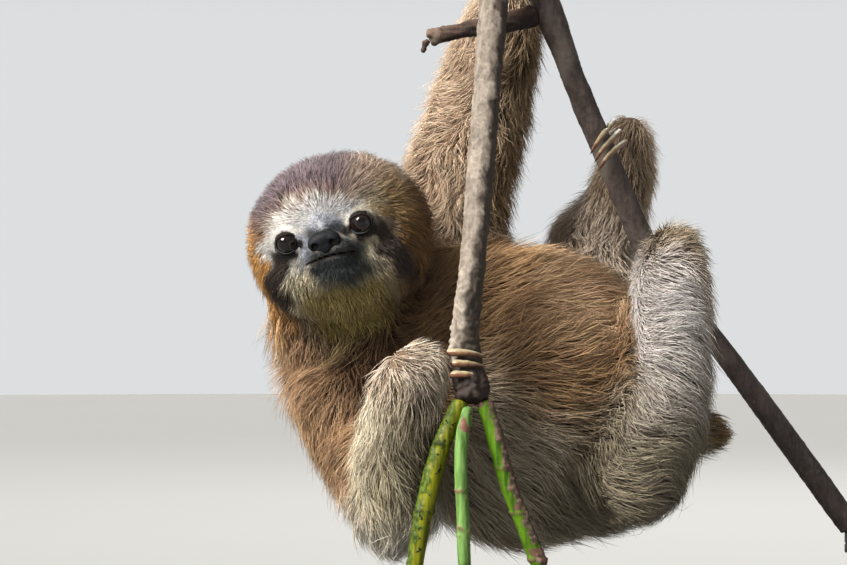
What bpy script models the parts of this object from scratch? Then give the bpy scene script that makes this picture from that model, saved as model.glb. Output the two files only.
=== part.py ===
"""A young brown-throated three-toed sloth, hanging from a cut branch and a vine.

A life-size still model for display. The animal hangs from the branch by its left
hand and both feet, and holds the vine with its right hand. Each named part of the
body is one solid, out to the tips of the coat. Two short rods on a flat steel base
carry the branch and the vine. Metres, +Z up, origin at the middle of the base's
underside, +X from the head towards the rump, +Y away from the side that is looked at.
"""
import math

import bmesh
import bpy
from mathutils import Euler, Matrix, Vector
from mathutils import noise

# ---------------------------------------------------------------- driving sizes
GAP = 0.0004                 # room left between two parts that touch
BASE_SIZE = (0.330, 0.210, 0.008)
BASE_CORNER = 0.016
BASE_BEVEL = 0.0015
ROD_RADIUS = 0.004
ROD_COLLAR_RADIUS = 0.0085
ROD_COLLAR_HEIGHT = 0.012

HEAD_CENTRE = Vector((-0.109, -0.0424, 0.2049))
HEAD_YAW = math.radians(-9)     # the face turns a little towards -X
HEAD_ROLL = math.radians(-15.3)  # and the crown leans the same way
EYE_RADIUS = 0.0058
EYE_SIDE = 0.0178            # from the middle of the face to the middle of an eye
EYE_FORWARD = 0.0318
EYE_UP = 0.0040
NOSE_PLACE = Vector((0.0, -0.0412, 0.0002))
NOSE_RADII = (0.0088, 0.0048, 0.0056)

BODY_VOXEL = 0.005
LIMB_VOXEL = 0.004
HEAD_VOXEL = 0.0025
LIMB_STEPS = 6               # balls from one station of a limb to the next
LIMB_MARGIN = 5              # balls past a joint, before the joint's cut takes them off
CLAW_SIDES = 6
CLAW_RINGS = 7
WOOD_SIDES = 9

# Limbs from the body outwards: (place, radius out to the tips of the coat)
ARM_LEFT = (((-0.0590, 0.026, 0.2010), 0.0325),    # 0 shoulder
            ((-0.0494, 0.026, 0.2477), 0.0318),
            ((-0.0383, 0.024, 0.2843), 0.0278),    # 2 elbow
            ((-0.0322, 0.020, 0.3067), 0.0240),
            ((-0.0255, 0.016, 0.3315), 0.0168),    # 4 wrist
            ((-0.0235, 0.005, 0.3490), 0.0112))
ARM_RIGHT = (((-0.1070, -0.014, 0.1334), 0.0325),  # 0 shoulder
             ((-0.0990, -0.028, 0.1068), 0.0250),
             ((-0.0826, -0.049, 0.0800), 0.0248),  # 2 elbow
             ((-0.0822, -0.060, 0.1035), 0.0250),
             ((-0.0807, -0.066, 0.1246), 0.0236),
             ((-0.0761, -0.071, 0.1432), 0.0182),  # 5 wrist
             ((-0.0652, -0.0740, 0.1474), 0.0128))
LEG_LEFT = (((0.0195, 0.032, 0.1560), 0.0325),     # 0 hip
            ((0.0125, 0.050, 0.1880), 0.0275),
            ((0.0040, 0.064, 0.2090), 0.0175),     # 2 knee
            ((0.0205, 0.052, 0.2125), 0.0225),
            ((0.0262, 0.044, 0.2290), 0.0185),     # 4 ankle
            ((0.0307, 0.036, 0.2480), 0.0150),
            ((0.0298, 0.025, 0.2592), 0.0125))
LEG_RIGHT = (((0.0330, 0.010, 0.1290), 0.0360),    # 0 hip
             ((0.0290, -0.018, 0.1080), 0.0320),
             ((0.0290, -0.040, 0.0940), 0.0258),   # 2 knee
             ((0.0407, -0.040, 0.1211), 0.0250),
             ((0.0447, -0.036, 0.1443), 0.0235),
             ((0.0455, -0.032, 0.1651), 0.0220),   # 5 ankle
             ((0.0468, -0.026, 0.1862), 0.0200),
             ((0.0493, -0.012, 0.2018), 0.0150))
TAIL = (((0.0540, 0.028, 0.1160), 0.0175),
        ((0.0703, 0.034, 0.1123), 0.0135))

# Wood: (place, radius)
BRANCH = (((-0.0341, -0.022, 0.3610), 0.0058), ((-0.0220, -0.014, 0.3400), 0.0060),
          ((-0.0107, -0.012, 0.3128), 0.0075), ((-0.0039, -0.008, 0.2952), 0.0062),
          ((0.0074, 0.000, 0.2671), 0.0060), ((0.0246, 0.010, 0.2293), 0.0060),
          ((0.0415, 0.018, 0.1934), 0.0062), ((0.0727, 0.028, 0.1547), 0.0058),
          ((0.1085, 0.036, 0.1069), 0.0060), ((0.1443, 0.042, 0.0582), 0.0062))
STUB = (((-0.0107, -0.012, 0.3128), 0.0060), ((-0.0339, -0.0155, 0.3069), 0.0048),
        ((-0.0551, -0.017, 0.3032), 0.0036), ((-0.0669, -0.017, 0.2999), 0.0042))
TWIG = (((-0.0655, -0.017, 0.3000), 0.0026), ((-0.0697, -0.019, 0.2968), 0.0021),
        ((-0.0702, -0.018, 0.2922), 0.0015))
VINE = (((-0.0351, -0.0300, 0.3470), 0.0075), ((-0.0371, -0.0330, 0.3170), 0.0074),
        ((-0.0411, -0.0450, 0.2695), 0.0068), ((-0.0448, -0.0580, 0.2229), 0.0064),
        ((-0.0479, -0.0660, 0.1907), 0.0062), ((-0.0515, -0.0715, 0.1560), 0.0064),
        ((-0.0480, -0.0740, 0.1390), 0.0078), ((-0.0475, -0.0760, 0.1315), 0.0070))
SHOOT_LEFT = (((-0.0525, -0.0775, 0.1315), 0.0040), ((-0.0625, -0.0800, 0.1091), 0.0046),
              ((-0.0700, -0.0830, 0.0800), 0.0044), ((-0.0748, -0.0830, 0.0500), 0.0040))
SHOOT_MIDDLE = (((-0.0500, -0.0810, 0.1290), 0.0032), ((-0.0531, -0.0850, 0.1093), 0.0034),
                ((-0.0522, -0.0870, 0.0780), 0.0034), ((-0.0513, -0.0870, 0.0500), 0.0034))
SHOOT_RIGHT = (((-0.0430, -0.0765, 0.1320), 0.0038), ((-0.0370, -0.0780, 0.1130), 0.0042),
               ((-0.0317, -0.0780, 0.0933), 0.0040), ((-0.0172, -0.0780, 0.0560), 0.0042))

COLLECTION_NAME = "three_toed_sloth"

COAT_TAN = (0.42, 0.29, 0.17)
COAT_BROWN = (0.24, 0.15, 0.09)
COAT_CREAM = (0.52, 0.44, 0.33)
FACE_CREAM = (0.62, 0.55, 0.44)
HORN = (0.62, 0.50, 0.33)
BARK_DARK = (0.10, 0.065, 0.045)
BARK_PALE = (0.30, 0.24, 0.19)
GREEN = (0.16, 0.33, 0.05)
YELLOW_GREEN = (0.33, 0.38, 0.05)
STEEL_BLACK = (0.02, 0.02, 0.022)


# ---------------------------------------------------------------- scene and materials
def clear_scene():
    """Take away what the file opened with."""
    for old in list(bpy.data.objects):
        bpy.data.objects.remove(old, do_unlink=True)


def new_collection(name):
    """A collection of that name, linked to the scene."""
    collection = bpy.data.collections.new(name)
    bpy.context.scene.collection.children.link(collection)
    return collection


def finish_of(name, colour, roughness, metallic=0.0):
    """A Principled material of one colour."""
    material = bpy.data.materials.new(name)
    material.use_nodes = True
    shader = material.node_tree.nodes["Principled BSDF"]
    shader.inputs["Base Color"].default_value = (*colour, 1.0)
    shader.inputs["Roughness"].default_value = roughness
    shader.inputs["Metallic"].default_value = metallic
    return material


# ---------------------------------------------------------------- modelling helpers
def smooth_path(stations, steps):
    """Places and radii along a smooth curve through the stations (Catmull-Rom)."""
    knots = [(*place, radius) for place, radius in stations]
    knots = [knots[0]] + knots + [knots[-1]]
    path = []
    for before, start, end, after in zip(knots, knots[1:], knots[2:], knots[3:]):
        for step in range(steps):
            t = step / steps
            path.append([0.5 * (2 * b + (c - a) * t + (2 * a - 5 * b + 4 * c - d) * t * t
                                + (3 * b - a - 3 * c + d) * t ** 3)
                         for a, b, c, d in zip(before, start, end, after)])
    path.append(list(knots[-1]))
    return [(Vector(point[:3]), point[3]) for point in path]


def add_ball(shape, place, radii, turn=None):
    """Join an ellipsoid to a shape."""
    frame = turn if turn is not None else Matrix.Identity(3)
    matrix = Matrix.Translation(place) @ frame.to_4x4() @ Matrix.Diagonal((*radii, 1.0))
    bmesh.ops.create_uvsphere(shape, u_segments=20, v_segments=12, radius=1.0, matrix=matrix)


def object_from(shape, name, collection):
    """A new object that holds the shape."""
    mesh = bpy.data.meshes.new(name)
    shape.to_mesh(mesh)
    shape.free()
    piece = bpy.data.objects.new(name, mesh)
    collection.objects.link(piece)
    return piece


def settle(piece):
    """Make the modifiers' result the object's own mesh."""
    graph = bpy.context.evaluated_depsgraph_get()
    mesh = bpy.data.meshes.new_from_object(piece.evaluated_get(graph))
    mesh.name = piece.name
    piece.modifiers.clear()
    piece.data = mesh
    return piece


def keep_largest_body(piece):
    """Drop the crumbs that a cut can leave beside the part."""
    shape = bmesh.new()
    shape.from_mesh(piece.data)
    unseen = set(shape.verts)
    bodies = []
    while unseen:
        edge_of_growth = [unseen.pop()]
        body = list(edge_of_growth)
        while edge_of_growth:
            vertex = edge_of_growth.pop()
            for edge in vertex.link_edges:
                other = edge.other_vert(vertex)
                if other in unseen:
                    unseen.remove(other)
                    edge_of_growth.append(other)
                    body.append(other)
        bodies.append(body)
    bodies.sort(key=len)
    for body in bodies[:-1]:
        bmesh.ops.delete(shape, geom=body, context="VERTS")
    bmesh.ops.triangulate(shape, faces=shape.faces)
    shape.to_mesh(piece.data)
    shape.free()


def soft_form(shape, name, triangles, voxel=BODY_VOXEL, smoothing=6):
    """Melt overlapping balls into one smooth closed form of about so many triangles."""
    piece = object_from(shape, name, parts)
    remesh = piece.modifiers.new("melt", "REMESH")
    remesh.mode = "VOXEL"
    remesh.voxel_size = voxel
    smooth = piece.modifiers.new("smooth", "SMOOTH")
    smooth.factor = 0.5
    smooth.iterations = smoothing
    settle(piece)
    coarse = piece.modifiers.new("coarse", "DECIMATE")
    coarse.ratio = min(1.0, triangles / (2 * len(piece.data.polygons)))
    settle(piece)
    keep_largest_body(piece)
    return piece


def swollen_copy(piece):
    """A cutter: the part's form, grown by the gap on every side."""
    cutter = bpy.data.objects.new("cut_by_" + piece.name, piece.data.copy())
    cutters.objects.link(cutter)
    cutter.hide_render = True
    cutter.display_type = "WIRE"
    shape = bmesh.new()
    shape.from_mesh(cutter.data)
    shape.normal_update()
    for vertex in shape.verts:
        vertex.co += vertex.normal * GAP * vertex.calc_shell_factor()
    shape.to_mesh(cutter.data)
    shape.free()
    return cutter


def fit_together(pieces):
    """Cut each part back to clear the ones before it in the list, where they meet."""
    forms = {piece.name: swollen_copy(piece) for piece in pieces}
    boxes = {}
    for name, form in forms.items():
        corners = [vertex.co for vertex in form.data.vertices]
        boxes[name] = [(min(c[i] for c in corners), max(c[i] for c in corners)) for i in range(3)]
    for index, piece in enumerate(pieces):
        for other in pieces[:index]:
            mine, its = boxes[piece.name], boxes[other.name]
            if all(a[0] < b[1] and b[0] < a[1] for a, b in zip(mine, its)):
                cut = piece.modifiers.new("clear_" + other.name, "BOOLEAN")
                cut.operation = "DIFFERENCE"
                cut.object = forms[other.name]
        if len(piece.modifiers):
            settle(piece)
            keep_largest_body(piece)
    for form in forms.values():
        bpy.data.objects.remove(form, do_unlink=True)


def tube(name, path, sides, wobble=0.0):
    """A closed tube round a path of (place, radius), its bark a little uneven."""
    shape = bmesh.new()
    side_axis = None
    rings = []
    for index, (place, radius) in enumerate(path):
        ahead = path[min(index + 1, len(path) - 1)][0] - path[max(index - 1, 0)][0]
        ahead.normalize()
        if side_axis is None:
            side_axis = ahead.orthogonal().normalized()
        side_axis = (side_axis - ahead * side_axis.dot(ahead)).normalized()
        other_axis = ahead.cross(side_axis)
        ring = []
        for k in range(sides):
            angle = math.tau * k / sides
            out = side_axis * math.cos(angle) + other_axis * math.sin(angle)
            uneven = 1 + wobble * noise.noise(place * 90 + out * 1.5)
            ring.append(shape.verts.new(place + out * radius * uneven))
        rings.append(ring)
    for ring, following in zip(rings, rings[1:]):
        for k in range(sides):
            shape.faces.new((ring[k], ring[(k + 1) % sides],
                             following[(k + 1) % sides], following[k]))
    shape.faces.new(list(reversed(rings[0])))
    shape.faces.new(rings[-1])
    bmesh.ops.recalc_face_normals(shape, faces=shape.faces)
    bmesh.ops.triangulate(shape, faces=shape.faces)
    return object_from(shape, name, parts)


# ---------------------------------------------------------------- head
HEAD_FRAME = (Matrix.Translation(HEAD_CENTRE) @ Matrix.Rotation(HEAD_ROLL, 4, "Y")
              @ Matrix.Rotation(HEAD_YAW, 4, "Z"))
HEAD_TURN = HEAD_FRAME.to_3x3()


def on_head(place):
    """World place of a place given in the head's own frame: x side, -y face, z crown."""
    return HEAD_FRAME @ Vector(place)


def make_eye(side_name, side):
    """An eyeball, sunk in the face to about half."""
    shape = bmesh.new()
    place = on_head((side * EYE_SIDE, -EYE_FORWARD, EYE_UP))
    matrix = Matrix.Translation(place) @ HEAD_TURN.to_4x4()
    bmesh.ops.create_uvsphere(shape, u_segments=12, v_segments=8, radius=EYE_RADIUS, matrix=matrix)
    bmesh.ops.triangulate(shape, faces=shape.faces)
    return object_from(shape, "eye_" + side_name, parts)


def make_nose():
    """The broad bare nose pad."""
    shape = bmesh.new()
    add_ball(shape, on_head(NOSE_PLACE), NOSE_RADII, HEAD_TURN)
    return soft_form(shape, "nose", 110, voxel=0.0016, smoothing=2)


def make_head():
    """Round furry head, flat face, short muzzle and heavy cheeks."""
    shape = bmesh.new()
    for place, radii in (
            ((-0.0005, 0.0055, 0.0015), (0.0450, 0.0410, 0.0400)),  # cranium with its coat
            ((0.0, -0.0110, 0.0090), (0.0340, 0.0270, 0.0270)),     # forehead
            ((0.0, -0.0290, -0.0085), (0.0155, 0.0130, 0.0115)),    # muzzle
            ((0.0, -0.0230, -0.0150), (0.0170, 0.0130, 0.0110)),    # chin
            ((0.0, -0.0050, -0.0200), (0.0320, 0.0280, 0.0215))):   # throat coat
        add_ball(shape, on_head(place), radii, HEAD_TURN)
    for side in (-1, 1):
        add_ball(shape, on_head((side * 0.0200, -0.0130, -0.0080)), (0.0195, 0.0210, 0.0200), HEAD_TURN)
    return soft_form(shape, "head", 660, voxel=HEAD_VOXEL, smoothing=3)


# ---------------------------------------------------------------- body
def make_neck():
    """Short thick neck under the head, hidden in throat fur."""
    shape = bmesh.new()
    add_ball(shape, (-0.1085, -0.022, 0.1735), (0.0420, 0.0340, 0.0380))
    add_ball(shape, (-0.090, -0.010, 0.1720), (0.0380, 0.0380, 0.0360))
    return soft_form(shape, "neck", 150)


def make_trunk():
    """Barrel of the body, from the chest to the rump."""
    lean = Euler((0.0, math.radians(6), 0.0)).to_matrix()
    shape = bmesh.new()
    for place, radii in (
            ((-0.022, 0.004, 0.1305), (0.0700, 0.0600, 0.0785)),
            ((-0.066, 0.006, 0.1500), (0.0500, 0.0520, 0.0560)),
            ((0.018, 0.014, 0.1180), (0.0450, 0.0500, 0.0590))):
        add_ball(shape, place, radii, lean)
    return soft_form(shape, "trunk", 600, smoothing=16)


def cut_flat(piece, place, normal):
    """Take off what lies past a plane, and close the cut."""
    shape = bmesh.new()
    shape.from_mesh(piece.data)
    bmesh.ops.bisect_plane(shape, geom=shape.verts[:] + shape.edges[:] + shape.faces[:],
                           plane_co=place, plane_no=normal, clear_outer=True)
    rim = [edge for edge in shape.edges if edge.is_boundary]
    bmesh.ops.holes_fill(shape, edges=rim, sides=0)
    bmesh.ops.triangulate(shape, faces=shape.faces)
    shape.to_mesh(piece.data)
    shape.free()


def make_limb(stations, lengths):
    """A limb as lengths of (name, first station, last station, triangles), parted at its joints."""
    path = smooth_path(stations, LIMB_STEPS)
    made = []
    for name, first, last, triangles in lengths:
        start = first * LIMB_STEPS
        end = last * LIMB_STEPS
        shape = bmesh.new()
        for place, radius in path[max(start - LIMB_MARGIN, 0):end + LIMB_MARGIN + 1]:
            add_ball(shape, place, (radius, radius, radius))
        piece = soft_form(shape, name, triangles, voxel=LIMB_VOXEL)
        for joint, outward in ((start, -1), (end, 1)):
            if 0 < joint < len(path) - 1:
                along = (path[joint + 1][0] - path[joint - 1][0]).normalized() * outward
                cut_flat(piece, path[joint][0] - along * GAP / 2, along)
        keep_largest_body(piece)
        made.append(piece)
    return made


def make_flesh():
    """Every part of the body, in the order in which one gives way to the next."""
    return ([make_nose(), make_head(), make_trunk(), make_neck()]
            + make_limb(ARM_LEFT, (("upper_arm_left", 0, 2, 270), ("forearm_left", 2, 4, 220),
                                   ("hand_left", 4, 5, 140)))
            + make_limb(ARM_RIGHT, (("upper_arm_right", 0, 2, 270), ("forearm_right", 2, 5, 280),
                                    ("hand_right", 5, 6, 140)))
            + make_limb(LEG_LEFT, (("thigh_left", 0, 2, 220), ("shin_left", 2, 4, 180),
                                   ("foot_left", 4, 6, 200)))
            + make_limb(LEG_RIGHT, (("thigh_right", 0, 2, 200), ("shin_right", 2, 5, 300),
                                    ("foot_right", 5, 7, 200)))
            + make_limb(TAIL, (("tail", 0, 1, 140),)))


# ---------------------------------------------------------------- claws
def make_claw(name, root, crown, tip, thickness):
    """A curved horn that leaves the toe at its root, bends past its crown and ends in a point."""
    root, crown, tip = Vector(root), Vector(crown), Vector(tip)
    control = crown * 2 - (root + tip) / 2
    path = []
    for ring in range(CLAW_RINGS):
        t = ring / (CLAW_RINGS - 1)
        place = root * (1 - t) ** 2 + control * 2 * t * (1 - t) + tip * t * t
        path.append((place, thickness / 2 * (1 - 0.80 * t ** 2.2)))
    return tube(name, path, CLAW_SIDES)


def make_claws_of(limb, roots, crowns, tips, thickness):
    """Three claws, evenly spread from the first one's places to the last one's."""
    made = []
    for digit in range(3):
        share = digit / 2
        root, crown, tip = (Vector(ends[0]).lerp(Vector(ends[1]), share)
                            for ends in (roots, crowns, tips))
        made.append(make_claw("claw_%s_%d" % (limb, digit + 1), root, crown, tip, thickness))
    return made


def make_claws():
    """Three on each hand and foot, side by side."""
    return (make_claws_of("hand_right",                      # across the front of the vine
                          ((-0.0640, -0.0770, 0.1528), (-0.0640, -0.0770, 0.1430)),
                          ((-0.0505, -0.0822, 0.1532), (-0.0505, -0.0822, 0.1434)),
                          ((-0.0405, -0.0725, 0.1505), (-0.0405, -0.0725, 0.1420)), 0.0043)
            + make_claws_of("hand_left",                     # over the branch, from behind
                            ((-0.0190, 0.0030, 0.3480), (-0.0230, 0.0000, 0.3560)),
                            ((-0.0160, -0.0165, 0.3495), (-0.0208, -0.0195, 0.3580)),
                            ((-0.0250, -0.0265, 0.3385), (-0.0305, -0.0300, 0.3475)), 0.0040)
            + make_claws_of("foot_left",                     # round the branch, from behind
                            ((0.0215, 0.0125, 0.2625), (0.0270, 0.0125, 0.2525)),
                            ((0.0138, -0.0060, 0.2535), (0.0180, -0.0050, 0.2455)),
                            ((0.0085, -0.0030, 0.2445), (0.0125, -0.0015, 0.2365)), 0.0036)
            + make_claws_of("foot_right",                    # over the branch, from the front
                            ((0.0440, -0.0060, 0.2040), (0.0545, -0.0040, 0.1940)),
                            ((0.0430, 0.0195, 0.2080), (0.0550, 0.0230, 0.1940)),
                            ((0.0420, 0.0320, 0.1860), (0.0545, 0.0350, 0.1680)), 0.0040))


# ---------------------------------------------------------------- perch
def make_perch():
    """The forked branch, its broken stub, and the vine with its three green shoots."""
    branch = tube("perch_branch", smooth_path(BRANCH, 2), WOOD_SIDES, wobble=0.16)
    stub = tube("perch_stub", smooth_path(STUB, 3), WOOD_SIDES, wobble=0.20)
    twig = tube("perch_twig", smooth_path(TWIG, 2), 6, wobble=0.15)
    vine = tube("perch_vine", smooth_path(VINE, 3), WOOD_SIDES, wobble=0.12)
    shoots = [tube(name, smooth_path(path, 3), 7, wobble=0.08)
              for name, path in (("perch_shoot_left", SHOOT_LEFT),
                                 ("perch_shoot_middle", SHOOT_MIDDLE),
                                 ("perch_shoot_right", SHOOT_RIGHT))]
    return [branch, stub, twig, vine] + shoots


# ---------------------------------------------------------------- stand
def make_base():
    """A flat plate with round corners and a small bevel."""
    length, depth, thickness = BASE_SIZE
    shape = bmesh.new()
    bmesh.ops.create_cube(shape, size=1.0, matrix=Matrix.Translation((0, 0, thickness / 2))
                          @ Matrix.Diagonal((length, depth, thickness, 1.0)))
    uprights = [edge for edge in shape.edges
                if abs(edge.verts[0].co.z - edge.verts[1].co.z) > thickness / 2]
    bmesh.ops.bevel(shape, geom=uprights, offset=BASE_CORNER, segments=5, profile=0.5,
                    affect="EDGES")
    rims = [edge for edge in shape.edges if edge.verts[0].co.z > thickness * 0.9
            and edge.verts[1].co.z > thickness * 0.9]
    bmesh.ops.bevel(shape, geom=rims, offset=BASE_BEVEL, segments=2, profile=0.5, affect="EDGES")
    bmesh.ops.triangulate(shape, faces=shape.faces)
    return object_from(shape, "stand_base", parts)


def make_rod(name, foot, top_place):
    """A round rod from the base, ending in a collar that holds a cut end of the perch."""
    path = [(Vector((*foot, BASE_SIZE[2] + GAP)), ROD_RADIUS * 2.2),
            (Vector((*foot, BASE_SIZE[2] + GAP + 0.003)), ROD_RADIUS * 2.2),
            (Vector((*foot, BASE_SIZE[2] + GAP + 0.0034)), ROD_RADIUS),
            (Vector((*foot, top_place - ROD_COLLAR_HEIGHT)), ROD_RADIUS),
            (Vector((*foot, top_place - ROD_COLLAR_HEIGHT + 0.002)), ROD_COLLAR_RADIUS),
            (Vector((*foot, top_place)), ROD_COLLAR_RADIUS)]
    return tube(name, path, 16)


def make_stand():
    """The base and its two rods."""
    branch_end = BRANCH[-1][0]
    shoot_end = SHOOT_MIDDLE[-1][0]
    return [make_base(),
            make_rod("stand_rod_branch", branch_end[:2], branch_end[2] + 0.006),
            make_rod("stand_rod_vine", shoot_end[:2], shoot_end[2] + 0.006)]


# ---------------------------------------------------------------- assembly
def colour_of(name):
    """Colour and roughness of a part, from the first word of its name."""
    words = name.split("_")
    plain = {"head": (FACE_CREAM, 0.9), "neck": (COAT_BROWN, 0.9), "trunk": (COAT_TAN, 0.9),
             "upper": (COAT_TAN, 0.9), "forearm": (COAT_CREAM, 0.9), "hand": (COAT_CREAM, 0.9),
             "thigh": (COAT_TAN, 0.9), "shin": (COAT_CREAM, 0.9), "foot": (COAT_CREAM, 0.9),
             "tail": (COAT_BROWN, 0.9), "nose": ((0.02, 0.018, 0.018), 0.5),
             "eye": ((0.015, 0.010, 0.008), 0.1), "claw": (HORN, 0.4),
             "stand": (STEEL_BLACK, 0.45)}
    if words[0] == "perch":
        wood = {"branch": BARK_DARK, "stub": BARK_DARK, "twig": BARK_DARK, "vine": BARK_PALE}
        shoots = {"left": YELLOW_GREEN, "middle": GREEN, "right": GREEN}
        return (wood.get(words[1]) or shoots[words[2]]), 0.7
    return plain[words[0]]


clear_scene()
parts = new_collection(COLLECTION_NAME)
cutters = new_collection("cutters")
everything = (make_stand() + make_perch() + [make_eye("right", -1), make_eye("left", 1)]
              + make_flesh() + make_claws())
fit_together(everything)
for part in everything:
    tint, rough = colour_of(part.name)
    part.data.materials.clear()
    part.data.materials.append(finish_of(part.name, tint, rough,
                                         1.0 if part.name.startswith("stand") else 0.0))
    part.data.shade_smooth()
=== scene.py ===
"""Looks of the three-toed sloth: skin, coat of solid locks, eyes, claws, bark, stand and light.

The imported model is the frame. Metres, +Z up. One skin stands for all nodes of flesh and lies
inside them by the coat's depth. The coat is closed three-sided locks that grow from it.
"""
import math
from collections import namedtuple

import bpy
import numpy as np
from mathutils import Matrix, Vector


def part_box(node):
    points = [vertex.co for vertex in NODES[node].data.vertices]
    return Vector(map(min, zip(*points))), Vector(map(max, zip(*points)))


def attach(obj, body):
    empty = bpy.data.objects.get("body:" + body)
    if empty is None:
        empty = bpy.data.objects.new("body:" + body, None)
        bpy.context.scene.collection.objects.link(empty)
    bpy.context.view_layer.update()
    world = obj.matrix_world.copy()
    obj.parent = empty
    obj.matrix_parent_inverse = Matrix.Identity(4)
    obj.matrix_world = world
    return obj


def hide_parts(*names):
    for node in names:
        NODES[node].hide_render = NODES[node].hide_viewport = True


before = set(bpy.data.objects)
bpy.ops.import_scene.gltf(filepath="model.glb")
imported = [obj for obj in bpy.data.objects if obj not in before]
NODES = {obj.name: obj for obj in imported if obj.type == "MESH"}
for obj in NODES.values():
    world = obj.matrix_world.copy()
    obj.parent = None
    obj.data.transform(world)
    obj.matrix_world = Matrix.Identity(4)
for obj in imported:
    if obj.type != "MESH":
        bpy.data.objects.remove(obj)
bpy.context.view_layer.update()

import openvdb
from mathutils import Vector
from mathutils.kdtree import KDTree

# ---- driving values
SKIN_VOXEL = 0.0020
LID_VOXEL = 0.00032
HEAD_VOXEL = 0.0008
CLAW_VOXEL = 0.0005
BARK_VOXEL = 0.0008
NOSE_VOXEL = 0.0004
EDGE = 0.004                 # room round a CAD node that is meshed finely
WIDE_BAND = 0.030            # how far from the whole body's surface distances are kept
NODE_BAND = 0.024            # and from a single node's
MARGIN = 0.012               # room round the body
NODE_BLEND = 0.004           # how softly one node's coat depth passes into the next's
ROOT_SUNK = 0.0012           # how far a lock of the body starts below the skin
HEAD_ROOT_SUNK = 0.0004
SEAM_REACH = 0.0015          # closes the joints between the solids of flesh
HEAD_LOCKS = 44000
HEAD_RINGS = 2
PATCH = 0.003                # size of a lock's patch in the OFBake map
MOST_TRIANGLES = 190000      # in one piece of the coat
HEAD_SEED, LOCK_SEED, CURL_SEED = 202, 5, 7

# How deep the skin lies under the tips of the coat
COAT_DEPTH = {"head": 0.0055, "neck": 0.0110, "trunk": 0.0095, "tail": 0.0060, "upper": 0.0085,
              "forearm": 0.0070, "hand": 0.0045, "thigh": 0.0085, "shin": 0.0070, "foot": 0.0042}
FLESH = sorted(n for n in NODES if n.split("_")[0] in COAT_DEPTH)
DEPTHS = np.array([COAT_DEPTH[n.split("_")[0]] for n in FLESH])
HEAD = FLESH.index("head")
TRUNK = FLESH.index("trunk")


# ---- numbers and fields
def rows_of(items, name, width, kind=np.float32):
    """An attribute of mesh items, as an array of rows."""
    values = np.empty(len(items) * width, kind)
    items.foreach_get(name, values)
    return values.reshape(-1, width)


def arrays_of(piece):
    """Vertices and triangles of a mesh object."""
    mesh = piece.data
    mesh.calc_loop_triangles()
    return rows_of(mesh.vertices, "co", 3), rows_of(mesh.loop_triangles, "vertices", 3, np.int32)


def unit(vectors):
    """Vectors of length 1."""
    return vectors / np.maximum(np.linalg.norm(vectors, axis=-1, keepdims=True), 1e-9)


def step(low, high, value):
    """0 below low, 1 above high, smooth between."""
    t = np.clip((value - low) / (high - low), 0, 1)
    return t * t * (3 - 2 * t)


def mix(a, b, share):
    """From a to b by a share for each row."""
    share = np.asarray(share)[..., None]
    return np.asarray(a) * (1 - share) + np.asarray(b) * share


class Grid:
    """A box of cells, for fields sampled on it."""

    def __init__(self, low, high, voxel):
        self.voxel = voxel
        self.start = np.floor(np.asarray(low) / voxel).astype(int)
        self.shape = tuple(np.ceil(np.asarray(high) / voxel).astype(int) - self.start)

    def places(self):
        """The cells' places, as an array of shape + (3,)."""
        axes = [(np.arange(n) + s) * self.voxel for n, s in zip(self.shape, self.start)]
        return np.stack(np.meshgrid(*axes, indexing="ij"), -1).astype(np.float32)

    def distance_to(self, points, faces, band):
        """Signed distance to a closed mesh of triangles or quads."""
        kind = "triangles" if faces.shape[1] == 3 else "quads"
        field = openvdb.FloatGrid.createLevelSetFromPolygons(
            np.ascontiguousarray(points, np.float32),
            transform=openvdb.createLinearTransform(voxelSize=self.voxel),
            halfWidth=band / self.voxel, **{kind: np.ascontiguousarray(faces, np.uint32)})
        dense = np.zeros(self.shape, np.float32)
        field.copyToArray(dense, ijk=tuple(int(i) for i in self.start))
        return dense

    def surface(self, field, level=0.0):
        """Points and quads of the surface where the field has that level."""
        grid = openvdb.FloatGrid()
        grid.background = WIDE_BAND
        grid.transform = openvdb.createLinearTransform(voxelSize=self.voxel)
        grid.copyFromArray(np.ascontiguousarray(field, np.float32),
                           ijk=tuple(int(i) for i in self.start))
        return grid.convertToQuads(isovalue=level)

    def sample(self, field, places):
        """The field's value at any places, by trilinear steps."""
        at = places / self.voxel - self.start
        at = np.clip(at, 0, np.array(self.shape) - 1.001)
        cell = at.astype(int)
        part = (at - cell).astype(np.float32)
        value = 0.0
        for corner in np.ndindex(2, 2, 2):
            weight = 1.0
            for axis in range(3):
                weight = weight * (part[:, axis] if corner[axis] else 1 - part[:, axis])
            value = value + weight * field[tuple(cell[:, axis] + corner[axis] for axis in range(3))]
        return value


def blurred(field, rounds):
    """The field, softened by a three-cell filter along each axis."""
    for _ in range(rounds):
        for axis in range(3):
            padded = np.pad(field, [(1, 1) if a == axis else (0, 0) for a in range(3)], "edge")
            n = field.shape[axis]
            ahead = np.take(padded, range(2, n + 2), axis)
            behind = np.take(padded, range(0, n), axis)
            field = 0.5 * field + 0.25 * (ahead + behind)
    return field


def waves(places, scale, seed):
    """Smooth noise from -1 to 1: a few crossing sine waves about so far apart."""
    rng = np.random.default_rng(seed)
    total = np.zeros(len(places), np.float32)
    for _ in range(7):
        direction = unit(rng.normal(size=3)) * rng.uniform(0.6, 1.6) * math.tau / scale
        total += np.sin(places @ direction + rng.uniform(0, math.tau))
    return total / 3.2


def paint(mesh, name, colours):
    """A colour at each vertex."""
    layer = mesh.attributes.new(name, "FLOAT_COLOR", "POINT")
    rgba = np.concatenate([colours, np.ones((len(colours), 1))], 1).astype(np.float32)
    layer.data.foreach_set("color", rgba.ravel())


def stand_in(piece, nodes):
    """Put a piece on the one body, in place of CAD nodes."""
    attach(piece, "root")
    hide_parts(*nodes)


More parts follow.
